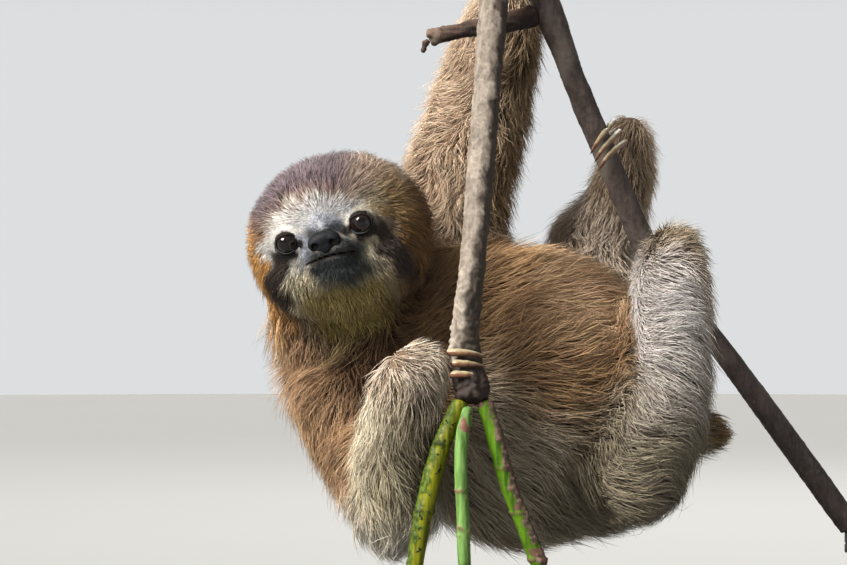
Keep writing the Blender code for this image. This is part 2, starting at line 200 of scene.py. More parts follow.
def mesh_object(name, points, faces, material=None, slot=None, stands_for=(), **numbers):
    """A smooth object from arrays, with numbers at its vertices."""
    mesh = bpy.data.meshes.new(name)
    count, sides = faces.shape
    mesh.vertices.add(len(points))
    mesh.vertices.foreach_set("co", np.ascontiguousarray(points, np.float32).ravel())
    mesh.loops.add(count * sides)
    mesh.loops.foreach_set("vertex_index", np.ascontiguousarray(faces, np.int32).ravel())
    mesh.polygons.add(count)
    mesh.polygons.foreach_set("loop_start", np.arange(0, count * sides, sides, dtype=np.int32))
    mesh.polygons.foreach_set("use_smooth", np.ones(count, bool))
    mesh.update(calc_edges=True)
    for key, values in numbers.items():
        layer = mesh.attributes.new(key, "FLOAT", "POINT")
        layer.data.foreach_set("value", np.ascontiguousarray(values, np.float32))
    if material is not None:
        mesh.materials.append(material)
    piece = bpy.data.objects.new(name, mesh)
    bpy.context.scene.collection.objects.link(piece)
    if slot is not None:
        stand_in(piece, stands_for)
    return piece


def turned_form(radii, heights, ends, sides):
    """A closed form turned about +Z, from its rings and the heights of its two ends."""
    turn = np.linspace(0, math.tau, sides, endpoint=False)
    points = [(r * math.cos(t), r * math.sin(t), z) for r, z in zip(radii, heights) for t in turn]
    first, last = len(points), len(points) - sides
    faces = []
    for k in range(sides):
        on = (k + 1) % sides
        for a, b in zip(range(k, last, sides), range(on, last, sides)):
            faces += [(a, a + sides, b + sides), (a, b + sides, b)]
        faces += [(first, k, on), (first + 1, last + on, last + k)]
    return np.array(points + [(0, 0, z) for z in ends]), np.array(faces)


def normals_of(points, faces):
    """Smooth unit normals at the points of triangles or quads."""
    across = np.cross(points[faces[:, 2]] - points[faces[:, 0]],
                      points[faces[:, -1]] - points[faces[:, 1]])
    total = np.zeros_like(points)
    for k in range(faces.shape[1]):
        for axis in range(3):
            total[:, axis] += np.bincount(faces[:, k], across[:, axis], len(points))
    return unit(total)


def middle_of(node):
    """Centre of a CAD node's box."""
    low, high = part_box(node)
    return np.array((low + high) / 2)


def share_of(node, places, axis):
    """How far through a CAD node's box the places are along an axis, from 0 to 1."""
    low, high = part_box(node)
    return (places[:, axis] - low[axis]) / (high[axis] - low[axis])


# ---- the head's own frame
EYE_FORWARD = 31.8           # millimetres from the head's centre to the eyes, towards the face
EYE_UP = 4.0
EYE_SIDE = 17.8
NOSE_DROP = math.radians(22)  # how far the line from the eyes to the nose points down
EYE_HOLE, BARE_EYE = 5.35, 5.30   # radii of the opening in the skin, and of the hairless round
SOCKET = 6.1                 # radius of the hollow for the eyeball
LID_INSIDE, LID_OUTSIDE = 5.7, 6.25
LIP_GAP = 0.42               # half the height of the closed mouth's line
MOUTH_HALF = 11.4


class Head:
    """The head's frame: x to the animal's left, y to the back of the head, z to the crown."""
    eyes = (middle_of("eye_left") + middle_of("eye_right")) / 2
    side = unit(middle_of("eye_left") - middle_of("eye_right"))
    to_nose = middle_of("nose") - eyes
    to_nose = unit(to_nose - side * (to_nose @ side))
    across = np.cross(side, to_nose)
    back = -(to_nose * math.cos(NOSE_DROP) - across * math.sin(NOSE_DROP))
    up = -to_nose * math.sin(NOSE_DROP) - across * math.cos(NOSE_DROP)
    centre = eyes + back * EYE_FORWARD / 1000 - up * EYE_UP / 1000
    turn = np.stack([side, back, up])

    @classmethod
    def local(cls, places):
        """Millimetres in the head's frame."""
        return ((places - cls.centre) @ cls.turn.T * 1000).astype(np.float32)

    @classmethod
    def world(cls, places):
        """Metres in the model's frame, from millimetres in the head's."""
        return np.asarray(places) / 1000 @ cls.turn + cls.centre


# ---- rounded forms, in millimetres
def ellipsoid(p, centre, radii):
    """About the signed distance to an ellipsoid."""
    q = p - np.array(centre, np.float32)
    near = np.linalg.norm(q / np.array(radii, np.float32), axis=-1)
    slope = np.linalg.norm(q / np.array(radii, np.float32) ** 2, axis=-1)
    return near * (near - 1) / np.maximum(slope, 1e-4)


def joined(a, b, soft):
    """Union of two forms, with a fillet about as wide as soft."""
    h = np.clip(0.5 + 0.5 * (b - a) / soft, 0, 1)
    return b * (1 - h) + a * h - soft * h * (1 - h)


def carved(a, b, soft):
    """The first form less the second."""
    return -joined(-a, b, soft)


def capsule(p, start, end, radius):
    """Signed distance to a rod with round ends."""
    start = np.array(start, np.float32)
    along = np.array(end, np.float32) - start
    t = np.clip((p - start) @ along / (along @ along), 0, 1)
    return np.linalg.norm(p - start - t[..., None] * along, axis=-1) - radius


def bulged(form, p, centre, radii, soft):
    """A form with an ellipsoid joined on."""
    return joined(form, ellipsoid(p, centre, radii), soft)


def grooved(form, p, start, end, radius, soft):
    """A form with a round groove carved out."""
    return carved(form, capsule(p, start, end, radius), soft)


def mouth_height(x):
    """Height of the mouth's line across the face: it falls to both corners."""
    return -6.4 - (np.abs(x) / 11.0) ** 2.2 * 0.9


# ---- skin
def head_form(p):
    """The bare head under its coat: flat face, orbits, lids, muzzle, lips and chin."""
    form = ellipsoid(p, (-0.5, 5.5, 1.5), (39.5, 35.5, 34.6))
    form = bulged(form, p, (0, -10.5, 8.5), (31.0, 23.5, 23.5), 8)
    form = bulged(form, p, (0, -6.0, -17.0), (27.0, 23.0, 17.5), 8)
    for s in (-1, 1):
        form = bulged(form, p, (s * 19.0, -13.0, -8.0), (16.5, 17.0, 16.5), 7)
        form = bulged(form, p, (s * 17.6, -26.0, 4.0), (10.2, 8.2, 9.4), 4)  # orbit
    form = bulged(form, p, (0, -26.5, 4.5), (8.6, 11.0, 10.0), 5)  # bridge
    form = bulged(form, p, (0, -28.0, -4.5), (13.6, 12.0, 8.0), 5)  # muzzle
    form = bulged(form, p, (0, -24.6, -13.2), (14.5, 13.4, 8.4), 5.0)  # jaw
    form = bulged(form, p, (0, -36.0, -9.0), (8.6, 2.6, 2.0), 2.2)  # lower lip
    for s in (-1, 1):
        form = bulged(form, p, (s * 5.2, -36.2, -3.8), (5.6, 4.6, 3.2), 2.4)  # upper lip
        form = joined(form, capsule(p, (s * 12.6, -28.5, -7.5), (s * 14.2, -23.0, -13.0), 1.9), 3)
    gap = np.abs(p[..., 2] - mouth_height(p[..., 0])) - LIP_GAP
    within = np.maximum(gap, np.maximum(np.abs(p[..., 0]) - MOUTH_HALF, p[..., 1] + 29.5))
    form = carved(form, within, 0.9)
    form = grooved(form, p, (0, -43.0, -2.5), (0, -42.3, -6.0), 0.75, 1.0)  # philtrum
    for s in (-1, 1):
        q = p - np.array((s * EYE_SIDE, -EYE_FORWARD, EYE_UP), np.float32)
        form = joined(form, np.maximum(np.linalg.norm(q, axis=-1) - 6.5, q[..., 1] - 2.0), 2.0)
        hole = np.hypot(q[..., 0] + 0.3 * s, q[..., 2] + 0.15) - EYE_HOLE
        form = carved(form, np.maximum(hole, q[..., 1]), 0.4)
        form = carved(form, np.linalg.norm(q, axis=-1) - SOCKET, 0.25)
    return form


def lid_opening(q, s):
    """Distance past the edge between the lids: an almond, its inner corner drawn out."""
    across = q[..., 0] * s
    reach = np.where(across < 0, 5.7, 4.6)
    taper = 1 - 0.35 * step(0.55, 1.15, -across / 5.7)
    tall = np.where(q[..., 2] > 0, 3.75, 4.25) * taper
    return (np.hypot(across / reach, q[..., 2] / tall) - 1) * 4.2


def make_body_surface():
    """The body with its nodes joined and shrunk by the coat's depth: grid, distances, skin."""
    solids = {n: arrays_of(NODES[n]) for n in FLESH}
    every = np.concatenate([points for points, _ in solids.values()])
    grid = Grid(every.min(0) - MARGIN, every.max(0) + MARGIN, SKIN_VOXEL)
    near = {n: grid.distance_to(*solids[n], band=NODE_BAND) for n in FLESH}
    outline = np.min(list(near.values()), axis=0)
    points, quads = grid.surface(outline, SEAM_REACH)
    whole = grid.distance_to(points, quads, WIDE_BAND) + SEAM_REACH
    depth = np.zeros(grid.shape, np.float32)
    total = np.full(grid.shape, 1e-9, np.float32)
    for name, distance in near.items():
        weight = np.exp(-np.clip(distance, -MARGIN, NODE_BAND) / NODE_BLEND)
        depth += weight * DEPTHS[FLESH.index(name)]
        total += weight
    skin = blurred(whole + depth / total, 2)
    return grid, near, skin


def formed(form, middle, reach, voxel):
    """Points and quads of a form of the head, meshed within reach of a place, in millimetres."""
    centre = Head.world(middle)
    span = np.abs(Head.turn.T) @ np.array(reach) / 1000
    grid = Grid(centre - span, centre + span, voxel)
    return grid.surface(form(Head.local(grid.places())).astype(np.float32) / 1000)


def united(first, second):
    """Boolean union of two closed surfaces of quads."""
    pieces = [mesh_object("skin", *first), mesh_object("skin_cutter", *second)]
    union = pieces[0].modifiers.new("join", "BOOLEAN")
    union.operation = "UNION"
    union.solver = "MANIFOLD"
    union.object = pieces[1]
    graph = bpy.context.evaluated_depsgraph_get()
    mesh = bpy.data.meshes.new_from_object(pieces[0].evaluated_get(graph))
    pieces[0].modifiers.clear()
    pieces[0].data = mesh
    bpy.data.objects.remove(pieces[1], do_unlink=True)
    return pieces[0]


# ---- lie of the coat
DOWN = np.array((0.0, 0.0, -1.0))
HALF_FOREARM = 0.024


def direction(start, end):
    """Unit vector from one CAD node's middle to another's."""
    return unit(middle_of(end) - middle_of(start))


def trunk_lie(places, normals):
    """Backwards along the flank: rising over the shoulder, sinking over the belly."""
    height, along = share_of("trunk", places, 2), share_of("trunk", places, 0)
    rise = np.interp(height, (0.05, 0.25, 0.45, 0.65, 0.90), (-52, -34, -13, 6, 20))
    rise = np.radians(rise + 14 * (along - 0.5) * (1 - height))
    return np.stack([np.cos(rise), 0.8 * np.clip(normals[:, 0], 0, 1), np.sin(rise)], -1)


def forearm_lie(places, normals):
    """From the wrist to the elbow, parting to both sides of the arm."""
    aside = (places[:, 0] - middle_of("forearm_right")[0]) / HALF_FOREARM
    height = share_of("forearm_right", places, 2)
    sweep = np.interp(height, (0.0, 0.45, 0.75, 1.0), (0.05, 0.24, -0.10, -0.30))
    return np.stack([sweep + 0.30 * aside, 0 * aside, 0 * aside - 1], -1)


def leg_lie(places, normals):
    """Round the leg from its inner side outwards, and a little down."""
    round_leg = np.cross(-DOWN, normals)
    outer = step(0.0, 1.0, normals[:, 0])
    over_knee = 0.5 * step(0.55, 0.95, normals[:, 2])[:, None] * np.array((1.0, -0.2, 0.0))
    return round_leg + over_knee + DOWN * (0.28 + 0.7 * outer)[:, None]


def arm_lie(places, normals):
    """Down the raised arm, from the hand to the shoulder."""
    return np.tile(direction("hand_left", "upper_arm_left"), (len(places), 1))


def straight(*vector):
    """A lie that is the same everywhere on a part."""
    return lambda places, normals: np.tile(unit(np.array(vector, float)), (len(places), 1))


class Coat:
    """How the coat of one node grows."""

    def __init__(self, lie, length, width, wave, share=1.0, wild=0.06, loft=1.0):
        self.lie = lie              # root to tip, from places and normals
        self.length = length / 1000  # given in millimetres
        self.width = width / 1000
        self.wave = math.radians(wave)  # how far the locks swing to both sides
        self.share = share          # density next to the trunk's
        self.wild = wild            # share of locks that stand out
        self.loft = loft            # how high the tips rise next to the coat's depth


COATS = {
    "trunk": Coat(trunk_lie, 26, 0.85, 18),
    "neck": Coat(straight(-0.15, -0.1, -1), 20, 0.75, 32, 1.5, 0.04, 1.5),
    "tail": Coat(lambda p, n: np.tile(direction("trunk", "tail"), (len(p), 1)), 12, 0.8, 8, 1.2),
    "upper_arm_left": Coat(arm_lie, 15, 0.7, 44, 1.25, 0.08),
    "forearm_left": Coat(arm_lie, 14, 0.7, 36, 1.25),
    "hand_left": Coat(arm_lie, 10, 0.7, 20, 1.3),
    "upper_arm_right": Coat(straight(-0.25, -0.1, -1), 21, 0.75, 26, 1.25, 0.16),
    "forearm_right": Coat(forearm_lie, 22, 0.7, 26, 1.35, 0.10, 1.15),
    "hand_right": Coat(straight(0.55, 0.0, -0.85), 11, 0.65, 18, 1.8, 0.04, 1.2),
    "thigh_left": Coat(straight(0.35, 0.0, -1), 20, 0.8, 26, 1.1),
    "shin_left": Coat(straight(-0.3, 0.0, -1), 15, 0.75, 22, 1.3),
    "foot_left": Coat(straight(-0.15, 0.2, -1), 9, 0.55, 14, 1.9, 0.02, 1.5),
    "thigh_right": Coat(leg_lie, 29, 0.75, 20, 1.25),
    "shin_right": Coat(leg_lie, 28, 0.68, 20, 1.35, 0.05, 1.1),
    "foot_right": Coat(leg_lie, 13, 0.62, 16, 1.7, 0.03, 1.6),
}


class Field:
    """The body's distance, up direction, lie and shares of each node on a coarse grid."""

    def __init__(self, grid, near, skin):
        self.grid, self.skin = grid, skin
        self.slope = [np.gradient(skin, grid.voxel, axis=a).astype(np.float32) for a in range(3)]
        self.near = near

    def height(self, places):
        """How far above the skin."""
        return self.grid.sample(self.skin, places)

    def up(self, places):
        """Away from the skin."""
        return unit(np.stack([self.grid.sample(s, places) for s in self.slope], -1))

    def shares(self, places, sharp=0.005):
        """Share of each node at the places, as rows that add up to 1."""
        apart = np.stack([self.grid.sample(self.near[n], places) for n in FLESH], -1)
        weight = np.exp(-(apart - apart.min(1, keepdims=True)) / sharp)
        return weight / weight.sum(1, keepdims=True)

    def lie(self, places, normals, shares):
        """The blended lie of the coat, in the tangent plane, before it waves."""
        total = np.zeros_like(places)
        for k, name in enumerate(FLESH):
            if name != "head":
                total += unit(COATS[name].lie(places, normals)) * shares[:, k:k + 1]
        total += unit(head_lie(places)) * shares[:, HEAD, None]
        return in_plane(total, normals)

    def blend(self, shares, what):
        """A number of each node's coat, blended by its shares."""
        values = [getattr(COATS.get(n, COATS["neck"]), what) for n in FLESH]
        return shares @ np.array(values)


def flattened(vectors, normals):
    """What of the vectors lies in the plane."""
    return vectors - normals * np.sum(vectors * normals, -1, keepdims=True)


def in_plane(vectors, normals):
    """Vectors laid down on the surface, unit length."""
    return unit(flattened(vectors, normals))


def turned(vectors, normals, angle):
    """Vectors turned about the normals."""
    angle = np.asarray(angle)[..., None]
    return vectors * np.cos(angle) + np.cross(normals, vectors) * np.sin(angle)


PARTING = np.array((0.0, -38.0, 9.0))      # where the hair of the face parts, between the eyes


def head_lie(places):
    """All ways from the parting; downwards on the cheeks and the throat."""
    p = Head.local(places)
    x, _, z = p.T
    away = unit(p - PARTING)
    low = step(4, -16, z)
    wide = step(8, 30, np.abs(x))
    away = away + np.stack([0 * low, 0 * low, -0.55 * low - 0.5 * wide * step(22, 0, z)], -1)
    return away @ Head.turn


# ---- locks
def make_locks(name, paths, normals, widths, colours, patches, slot, material):
    """Closed three-sided locks along paths (locks, rings + tip, 3), as one object."""
    locks, stations = paths.shape[:2]
    rings = stations - 1
    along = unit(np.gradient(paths, axis=1))
    flat = unit(np.cross(along, normals[:, None]))
    raised = np.cross(flat, along)
    profile = np.interp(np.linspace(0, 1, rings), (0, 0.45, 1), (0.75, 1.0, 0.62))
    size = (widths[:, None] * profile)[..., None]
    corner = ((-0.5, -0.10), (0.5, -0.10), (0.0, 0.45))
    middle = paths[:, :rings]
    sides = [middle + flat[:, :rings] * size * a + raised[:, :rings] * size * b for a, b in corner]
    ring_points = np.stack(sides, 2).reshape(locks, rings * 3, 3)
    points = np.concatenate([ring_points, paths[:, -1:]], 1)
    corners = [((0, 0), (0, 2), (0, 1))]        # the ring and the column of each corner
    for r in range(rings - 1):
        for k in range(3):
            a, b = (r, k), (r + 1, k + 1)
            corners += [(a, (r, k + 1), b), (a, b, (r + 1, k))]
    corners += [((rings - 1, k), (rings - 1, k + 1), (rings, k + 0.5)) for k in range(3)]
    ring, column = np.moveaxis(np.array(corners), -1, 0)
    one = np.where(ring == rings, rings * 3, ring * 3 + column % 3).astype(int)
    per_lock = rings * 3 + 1
    faces = (one[None] + np.arange(locks)[:, None, None] * per_lock).reshape(-1, 3)
    tips = np.concatenate([np.repeat(np.linspace(0, 1 - 1 / rings, rings), 3), [1.0]])
    lock = np.repeat(np.random.default_rng(LOCK_SEED).random(locks), per_lock)
    mesh = mesh_object(name, points.reshape(-1, 3), faces, material, slot,
                       tip=np.tile(tips, locks), lock=lock).data
    spread = (np.stack([column / 3, ring / rings], -1).reshape(1, -1, 2) - 0.5) * PATCH
    uv = mesh.uv_layers.new(name="OFBake")
    places = np.clip(patches[:, None] + spread, 0, 1).astype(np.float32)
    uv.data.foreach_set("uv", places.ravel())
    paint(mesh, "coat", np.repeat(colours, per_lock, 0))


def comb(field, roots, lengths, tip_heights, rings, wave, drift, curl):
    """Paths of locks from their roots, combed along the coat and lifted to their height."""
    steps = np.arange(rings + 1) / rings
    turn = np.random.default_rng(CURL_SEED).uniform(0, math.tau, len(roots))
    place = roots.astype(np.float32)
    path = [place - field.up(place) * ROOT_SUNK]
    for before, share in zip(steps, steps[1:]):
        normals = field.up(place)
        lie = field.lie(place, normals, field.shares(place, 0.003))
        swing = wave * (waves(place, 0.030, 3) + 0.6 * waves(place, 0.011, 4)) + drift * share
        swing = swing + curl * np.sin(turn + 4.5 * share)
        place = place + turned(lie, normals, swing) * (lengths * (share - before))[:, None]
        place = place + field.up(place) * (tip_heights * share - field.height(place))[:, None]
        path.append(place)
    return np.stack(path, 1)


def clumped(paths, roots, spacing, hold, seed):
    """Paths drawn towards the nearest leading lock, more and more to the tip."""
    rng = np.random.default_rng(seed)
    leads = np.flatnonzero(rng.random(len(roots)) < 1 / spacing)
    tree = KDTree(len(leads))
    for i in leads:
        tree.insert(roots[i], int(i))
    tree.balance()
    lead = np.array([tree.find(root)[1] for root in roots])
    share = np.linspace(0, 1, paths.shape[1]) ** 1.4 * hold
    held = share[None, :, None] * rng.uniform(0.3, 1.0, (len(roots), 1, 1))
    return paths * (1 - held) + paths[lead] * held


# ---- markings
# Colours in pairs, linear: a lock in its deep tone and in its bright tone
TONES = {
    "cap": ((0.036, 0.019, 0.018), (0.325, 0.228, 0.258)),
    "cream": ((0.6, 0.56, 0.5), (1.0, 0.98, 0.95)),
    "bridge": ((0.13, 0.15, 0.2), (0.5, 0.55, 0.68)),
    "side": ((0.34, 0.13, 0.025), (0.9, 0.5, 0.15)),
    "stripe": ((0.013, 0.008, 0.006), (0.07, 0.043, 0.03)),
    "rim": ((0.007, 0.006, 0.006), (0.018, 0.014, 0.013)),
    "muzzle": ((0.005, 0.006, 0.007), (0.058, 0.07, 0.072)),
    "chin": ((0.15, 0.104, 0.026), (0.72, 0.575, 0.205)),
    "cheek": ((0.42, 0.34, 0.2), (1.0, 0.9, 0.66)),
    "nape": ((0.17, 0.095, 0.045), (0.52, 0.34, 0.185)),
    "throat": ((0.013, 0.003, 0.001), (0.135, 0.045, 0.011)),
    "back": ((0.225, 0.112, 0.045), (0.74, 0.455, 0.22)),
    "flank": ((0.12, 0.057, 0.02), (0.46, 0.275, 0.125)),
    "belly": ((0.155, 0.122, 0.078), (0.84, 0.74, 0.56)),
    "aft": ((0.48, 0.27, 0.13), (1.0, 0.72, 0.45)),
    "arm": ((0.35, 0.218, 0.13), (1.0, 0.78, 0.57)),
    "elbow": ((0.34, 0.28, 0.2), (1.0, 0.97, 0.86)),
    "forearm": ((0.35, 0.255, 0.135), (1.0, 0.91, 0.67)),
    "golden": ((0.82, 0.66, 0.42), (1.0, 0.96, 0.8)),
    "leg": ((0.4, 0.33, 0.28), (0.93, 0.865, 0.82)),
    "leg_low": ((0.055, 0.04, 0.019), (0.3, 0.248, 0.14)),
    "buff": ((0.27, 0.185, 0.115), (0.84, 0.65, 0.46)),
    "arm_shade": ((0.085, 0.048, 0.017), (0.38, 0.25, 0.12)),
    "side_shade": ((0.05, 0.022, 0.006), (0.275, 0.148, 0.044)),
    "forearm_shade": ((0.04, 0.03, 0.012), (0.3, 0.25, 0.15)),
    "wrist": ((0.29, 0.18, 0.12), (0.98, 0.82, 0.71)),
    "leg_fawn_and_shade": ((0.13, 0.09, 0.047), (0.55, 0.43, 0.285)),
    "hip": ((0.62, 0.465, 0.35), (1.0, 0.88, 0.74)),
    "upper": ((0.24, 0.125, 0.055), (0.8, 0.52, 0.29)),
    "leg_highlight": ((0.53, 0.465, 0.43), (0.97, 0.94, 0.93)),
    "temple": ((0.185, 0.105, 0.036), (0.7, 0.46, 0.205)),
    "brow": ((0.3, 0.29, 0.29), (0.72, 0.71, 0.72)),
    "tail": ((0.06, 0.027, 0.003), (0.34, 0.17, 0.014)),
}
# The neck takes the throat's tone: dark brown, deepened by painted shadow under the chin.
PLAIN_TONE = {"neck": "throat", "tail": "tail", "upper_arm_left": "arm", "forearm_left": "arm",
              "hand_left": "arm", "upper_arm_right": "upper", "forearm_right": "forearm",
              "hand_right": "forearm", "thigh_left": "buff", "shin_left": "hip",
              "foot_left": "buff", "thigh_right": "leg", "shin_right": "leg",
              "foot_right": "leg", "trunk": "flank", "head": "nape"}
BAND_TOP = ((-40, -26, -14, 0, 18, 28, 40), (2, 12, 17.5, 18.5, 13.5, 4.5, -3))


class Marks:
    """Deep and bright colours of places, as tones are laid over a first one."""

    def __init__(self, tone, count):
        self.pair = [np.tile(colour, (count, 1)) for colour in TONES[tone]]

    def lay(self, tone, cover):
        """Lay a tone over the others, by its cover."""
        self.pair = [mix(old, np.array(new), cover) for old, new in zip(self.pair, TONES[tone])]


def chain(x, z, knots, radius):
    """Signed distance, in the face's plane, to a chain of straight runs."""
    best = np.full(len(x), 1e3)
    for (x0, z0), (x1, z1) in zip(knots, knots[1:]):
        dx, dz = x1 - x0, z1 - z0
        t = np.clip(((x - x0) * dx + (z - z0) * dz) / (dx * dx + dz * dz), 0, 1)
        best = np.minimum(best, np.hypot(x - x0 - t * dx, z - z0 - t * dz))
    return best - radius


def face_marks(places):
    """The head's markings, from places in its own frame."""
    p = Head.local(places)
    wobble = 1.6 * waves(places, 0.008, 21)
    x, y, z = p[:, 0] + wobble, p[:, 1], p[:, 2] + 1.4 * waves(places, 0.007, 22)
    front = step(2, -12, y)
    band_top = np.interp(x, *BAND_TOP)
    marks = Marks("nape", len(p))
    marks.lay("cap", step(-2, 7, z - band_top) * step(34, 4, y))
    marks.lay("side", step(24, 37, np.abs(x)) * step(26, 8, z) * step(22, 4, y))
    marks.lay("side_shade", 0.95 * step(18, 31, x) * step(30, 16, z))
    marks.lay("arm", 0.8 * step(8, 24, x) * step(14, 20, z) * step(38, 31, x))
    marks.lay("cheek", front * step(31, 23, np.abs(x)) * step(4, -3, z))
    lowest = np.interp(x, (-2, 8), (-11, -2))
    cream = step(4, -3, z - band_top) * step(32, 24, np.abs(x)) * step(0, 9, z - lowest)
    marks.lay("cream", front * cream)
    marks.lay("cream", front * step(4, 0, chain(x, z, ((-26, 5), (-24, 0)), 2.5)))
    brow = step(18, 9, np.abs(x - 4)) * step(6, 12, z) * step(3, -3, z - band_top)
    marks.lay("brow", 0.8 * front * brow)
    marks.lay("side", front * step(-26, -29.5, x) * step(1, -5, z))
    chin = step(-15, -20, z) * step(25, 15, np.abs(x))
    marks.lay("chin", chin * step(8, -6, y))
    marks.lay("side_shade", 0.75 * step(13, 26, x) * step(-2, -12, z))
    temple = step(19, 25, x) * step(39, 33, x) * step(1, 7, z) * step(25, 17, z)
    marks.lay("temple", 0.85 * front * temple)
    beside = step(13, 18, x) * step(30, 24, x) * step(5, 9, z) * step(21, 14, z)
    marks.lay("cheek", 0.5 * front * beside)
    for s in (-1, 1):
        knots = ((21.5, -2), (27.0, -8), (29.0, -18)) if s < 0 else ((22, 1), (25.6, -6), (28.5, -17))
        stripe = chain(x, z, [(s * a, b) for a, b in knots], 4.3)
        marks.lay("stripe", front * step(2.2, -1.6, stripe))
        # Under the chin on both sides: the throat's dark brown, deepened by painted shadow.
        marks.lay("throat", 0.6 * step(-22, -32, z) * step(8, 22, s * x))
    bridge = step(10.5, 5.0, np.abs(x - 1) + 0.35 * (z - 4)) * step(16, 7, z) * step(-9, -2, z)
    marks.lay("bridge", 0.85 * front * bridge)
    # The dark muzzle, wider on the right and carried beside the nose on the right: its own colour,
    # with painted shade on the side away from the light.
    dark = np.hypot((x - 1.0) / np.where(x > 0, 17.0, 11.6), (z + 10.2) / 8.6)
    marks.lay("muzzle", front * step(1.35, 0.65, dark))
    marks.lay("muzzle", 0.75 * front * step(2.0, -2.0, chain(x, z, ((8, -5), (14, -2.5)), 3.0)))
    pad = np.hypot(x / 10.5, (z - 1.2) / 7.0)
    marks.lay("muzzle", 0.85 * front * step(1.25, 0.75, pad))
    wing = np.hypot((x + 10.6) / 2.6, (z - 0.5) / 6.5)
    marks.lay("bridge", 0.8 * front * step(1.25, 0.6, wing))
    for s in (-1, 1):
        rim = np.hypot(x - wobble - s * EYE_SIDE, (p[:, 2] - EYE_UP) * 1.04) - (5.50 + 0.25 * s)
        corner = chain(p[:, 0], p[:, 2], ((s * 15, 3.4), (s * (10.4 - s), 2.6)), 2.0)
        low = chain(p[:, 0], p[:, 2], ((s * 15, -1.2), (s * 22, -0.6)), 1.7)
        cover = np.maximum(step(0.9, -0.5, rim), step(0.7, -0.7, np.minimum(corner, low)))
        marks.lay("rim", front * cover)
    return marks


def body_tones(places, normals, shares):
    """The markings of trunk and limbs, blended over the nodes."""
    deep, bright = np.zeros((2, len(places), 3))
    (x, _, z), aside = places.T, normals[:, 0]
    height = share_of("trunk", places, 2)
    patch = waves(places, 0.045, 31)
    for k, name in enumerate(FLESH):
        marks = face_marks(places) if name == "head" else Marks(PLAIN_TONE[name], len(places))
        if name == "trunk":
            aft = share_of(name, places, 0)
            marks.lay("back", step(0.55, 0.95, height + 0.10 * patch))
            golden = step(0.42, 0.60, aft + 0.04 * patch) * step(0.82, 0.68, aft)
            marks.lay("aft", golden * step(0.58, 0.76, height))
            marks.lay("belly", 0.9 * step(0.52, 0.26, height - 0.12 * aft + 0.10 * patch))
            # Painted shade: the trunk low down beside the leg, where it turns away from the light, in
            # the low leg's dark tone.
            dark_side = step(0.48, 0.68, aft + 0.06 * patch) * step(0.56, 0.34, height)
            marks.lay("leg_low", 0.6 * dark_side)
        if name == "neck":
            # Painted light: the neck's faces turned left, towards the key light, in the paler
            # upper-arm tone.
            marks.lay("upper", 0.9 * step(0.05, -0.55, aside + 0.15 * patch))
        if name.endswith("arm_left"):
            marks.lay("arm_shade", 0.8 * step(-0.15, 0.65, aside))
        if name == "forearm_right":
            inner = (x - middle_of(name)[0]) / HALF_FOREARM
            up = share_of(name, places, 2)
            marks.lay("wrist", 0.8 * step(0.70, 0.98, up))
            shade = step(-0.32, 0.26, aside + 0.12 * patch) * step(0.10, 0.35, up)
            marks.lay("forearm_shade", 0.95 * shade)
            # Golden hair along the arm's left edge: partly its own colour, partly painted light from
            # the key on the left.
            marks.lay("golden", step(-0.20, -0.80, inner))
            marks.lay("elbow", step(0.42, 0.18, up + 0.10 * patch))
        if name == "hand_right":
            marks.lay("wrist", 0.6)
        if name == "upper_arm_right":
            marks.lay("elbow", step(0.102, 0.085, z))
        if name == "thigh_left":
            marks.lay("hip", 0.8)
        if PLAIN_TONE[name] == "leg":
            edge = step(0.25, 0.85, aside + 0.10 * patch)
            foot = step(0.175, 0.112, z - 0.35 * (x - 0.04) + 0.008 * patch)
            middle = step(0.125, 0.155, z) * step(0.205, 0.180, z)
            # Painted highlight: a pale band across the middle of the leg, on faces turned left
            # towards the key light.
            marks.lay("leg_highlight", 0.8 * middle * step(0.45, 0.0, aside))
            # Painted shade on the faces turned right, in the fawn-brown tone.
            marks.lay("leg_fawn_and_shade", 0.7 * edge)
            # The knee's top in the same fawn-brown, its own colour.
            marks.lay("leg_fawn_and_shade", 0.95 * step(0.190, 0.209, z + 0.004 * patch))
            marks.lay("leg_low", 0.9 * foot)
        deep += marks.pair[0] * shares[:, k:k + 1]
        bright += marks.pair[1] * shares[:, k:k + 1]
    return deep, bright


# ---- growing the coat
class Roots:
    """Places scattered over the skin, with what a lock needs to know there."""

    def __init__(self, skin, count, density, seed):
        rng = np.random.default_rng(seed)
        points, faces = arrays_of(skin)
        corners = points[faces]
        across = np.cross(corners[:, 1] - corners[:, 0], corners[:, 2] - corners[:, 0])
        area = np.linalg.norm(across, axis=1) / 2
        middle = corners.mean(1)
        chance = area * density(middle)
        pick = rng.choice(len(faces), count, p=chance / chance.sum())
        a, b = rng.random((2, count))
        flip = a + b > 1
        a[flip], b[flip] = 1 - a[flip], 1 - b[flip]
        weight = np.stack([1 - a - b, a, b], 1)
        self.places = np.einsum("nk,nkc->nc", weight, corners[pick]).astype(np.float32)
        loops = rows_of(skin.data.loop_triangles, "loops", 3, np.int32)
        map_places = rows_of(skin.data.uv_layers["OFBake"].data, "uv", 2)
        self.patches = np.einsum("nk,nkc->nc", weight, map_places[loops[pick]])
        self.normals = unit(across[pick]).astype(np.float32)
        self.rng = rng


def lock_colours(deep, bright, rng, spread):
    """A colour for each lock between its deep and its bright tone."""
    colour = mix(deep, bright, rng.beta(*spread, len(deep)))
    return colour * rng.normal(1.0, 0.07, (len(deep), 1)) * rng.normal(1.0, 0.025, (len(deep), 3))


def body_density(field):
    """Where the body's locks grow: by each node's share, and none on the head."""
    def density(places):
        shares = field.shares(places)
        head = shares[:, HEAD]
        return field.blend(shares, "share") * (1 - step(0.35, 0.65, head))
    return density


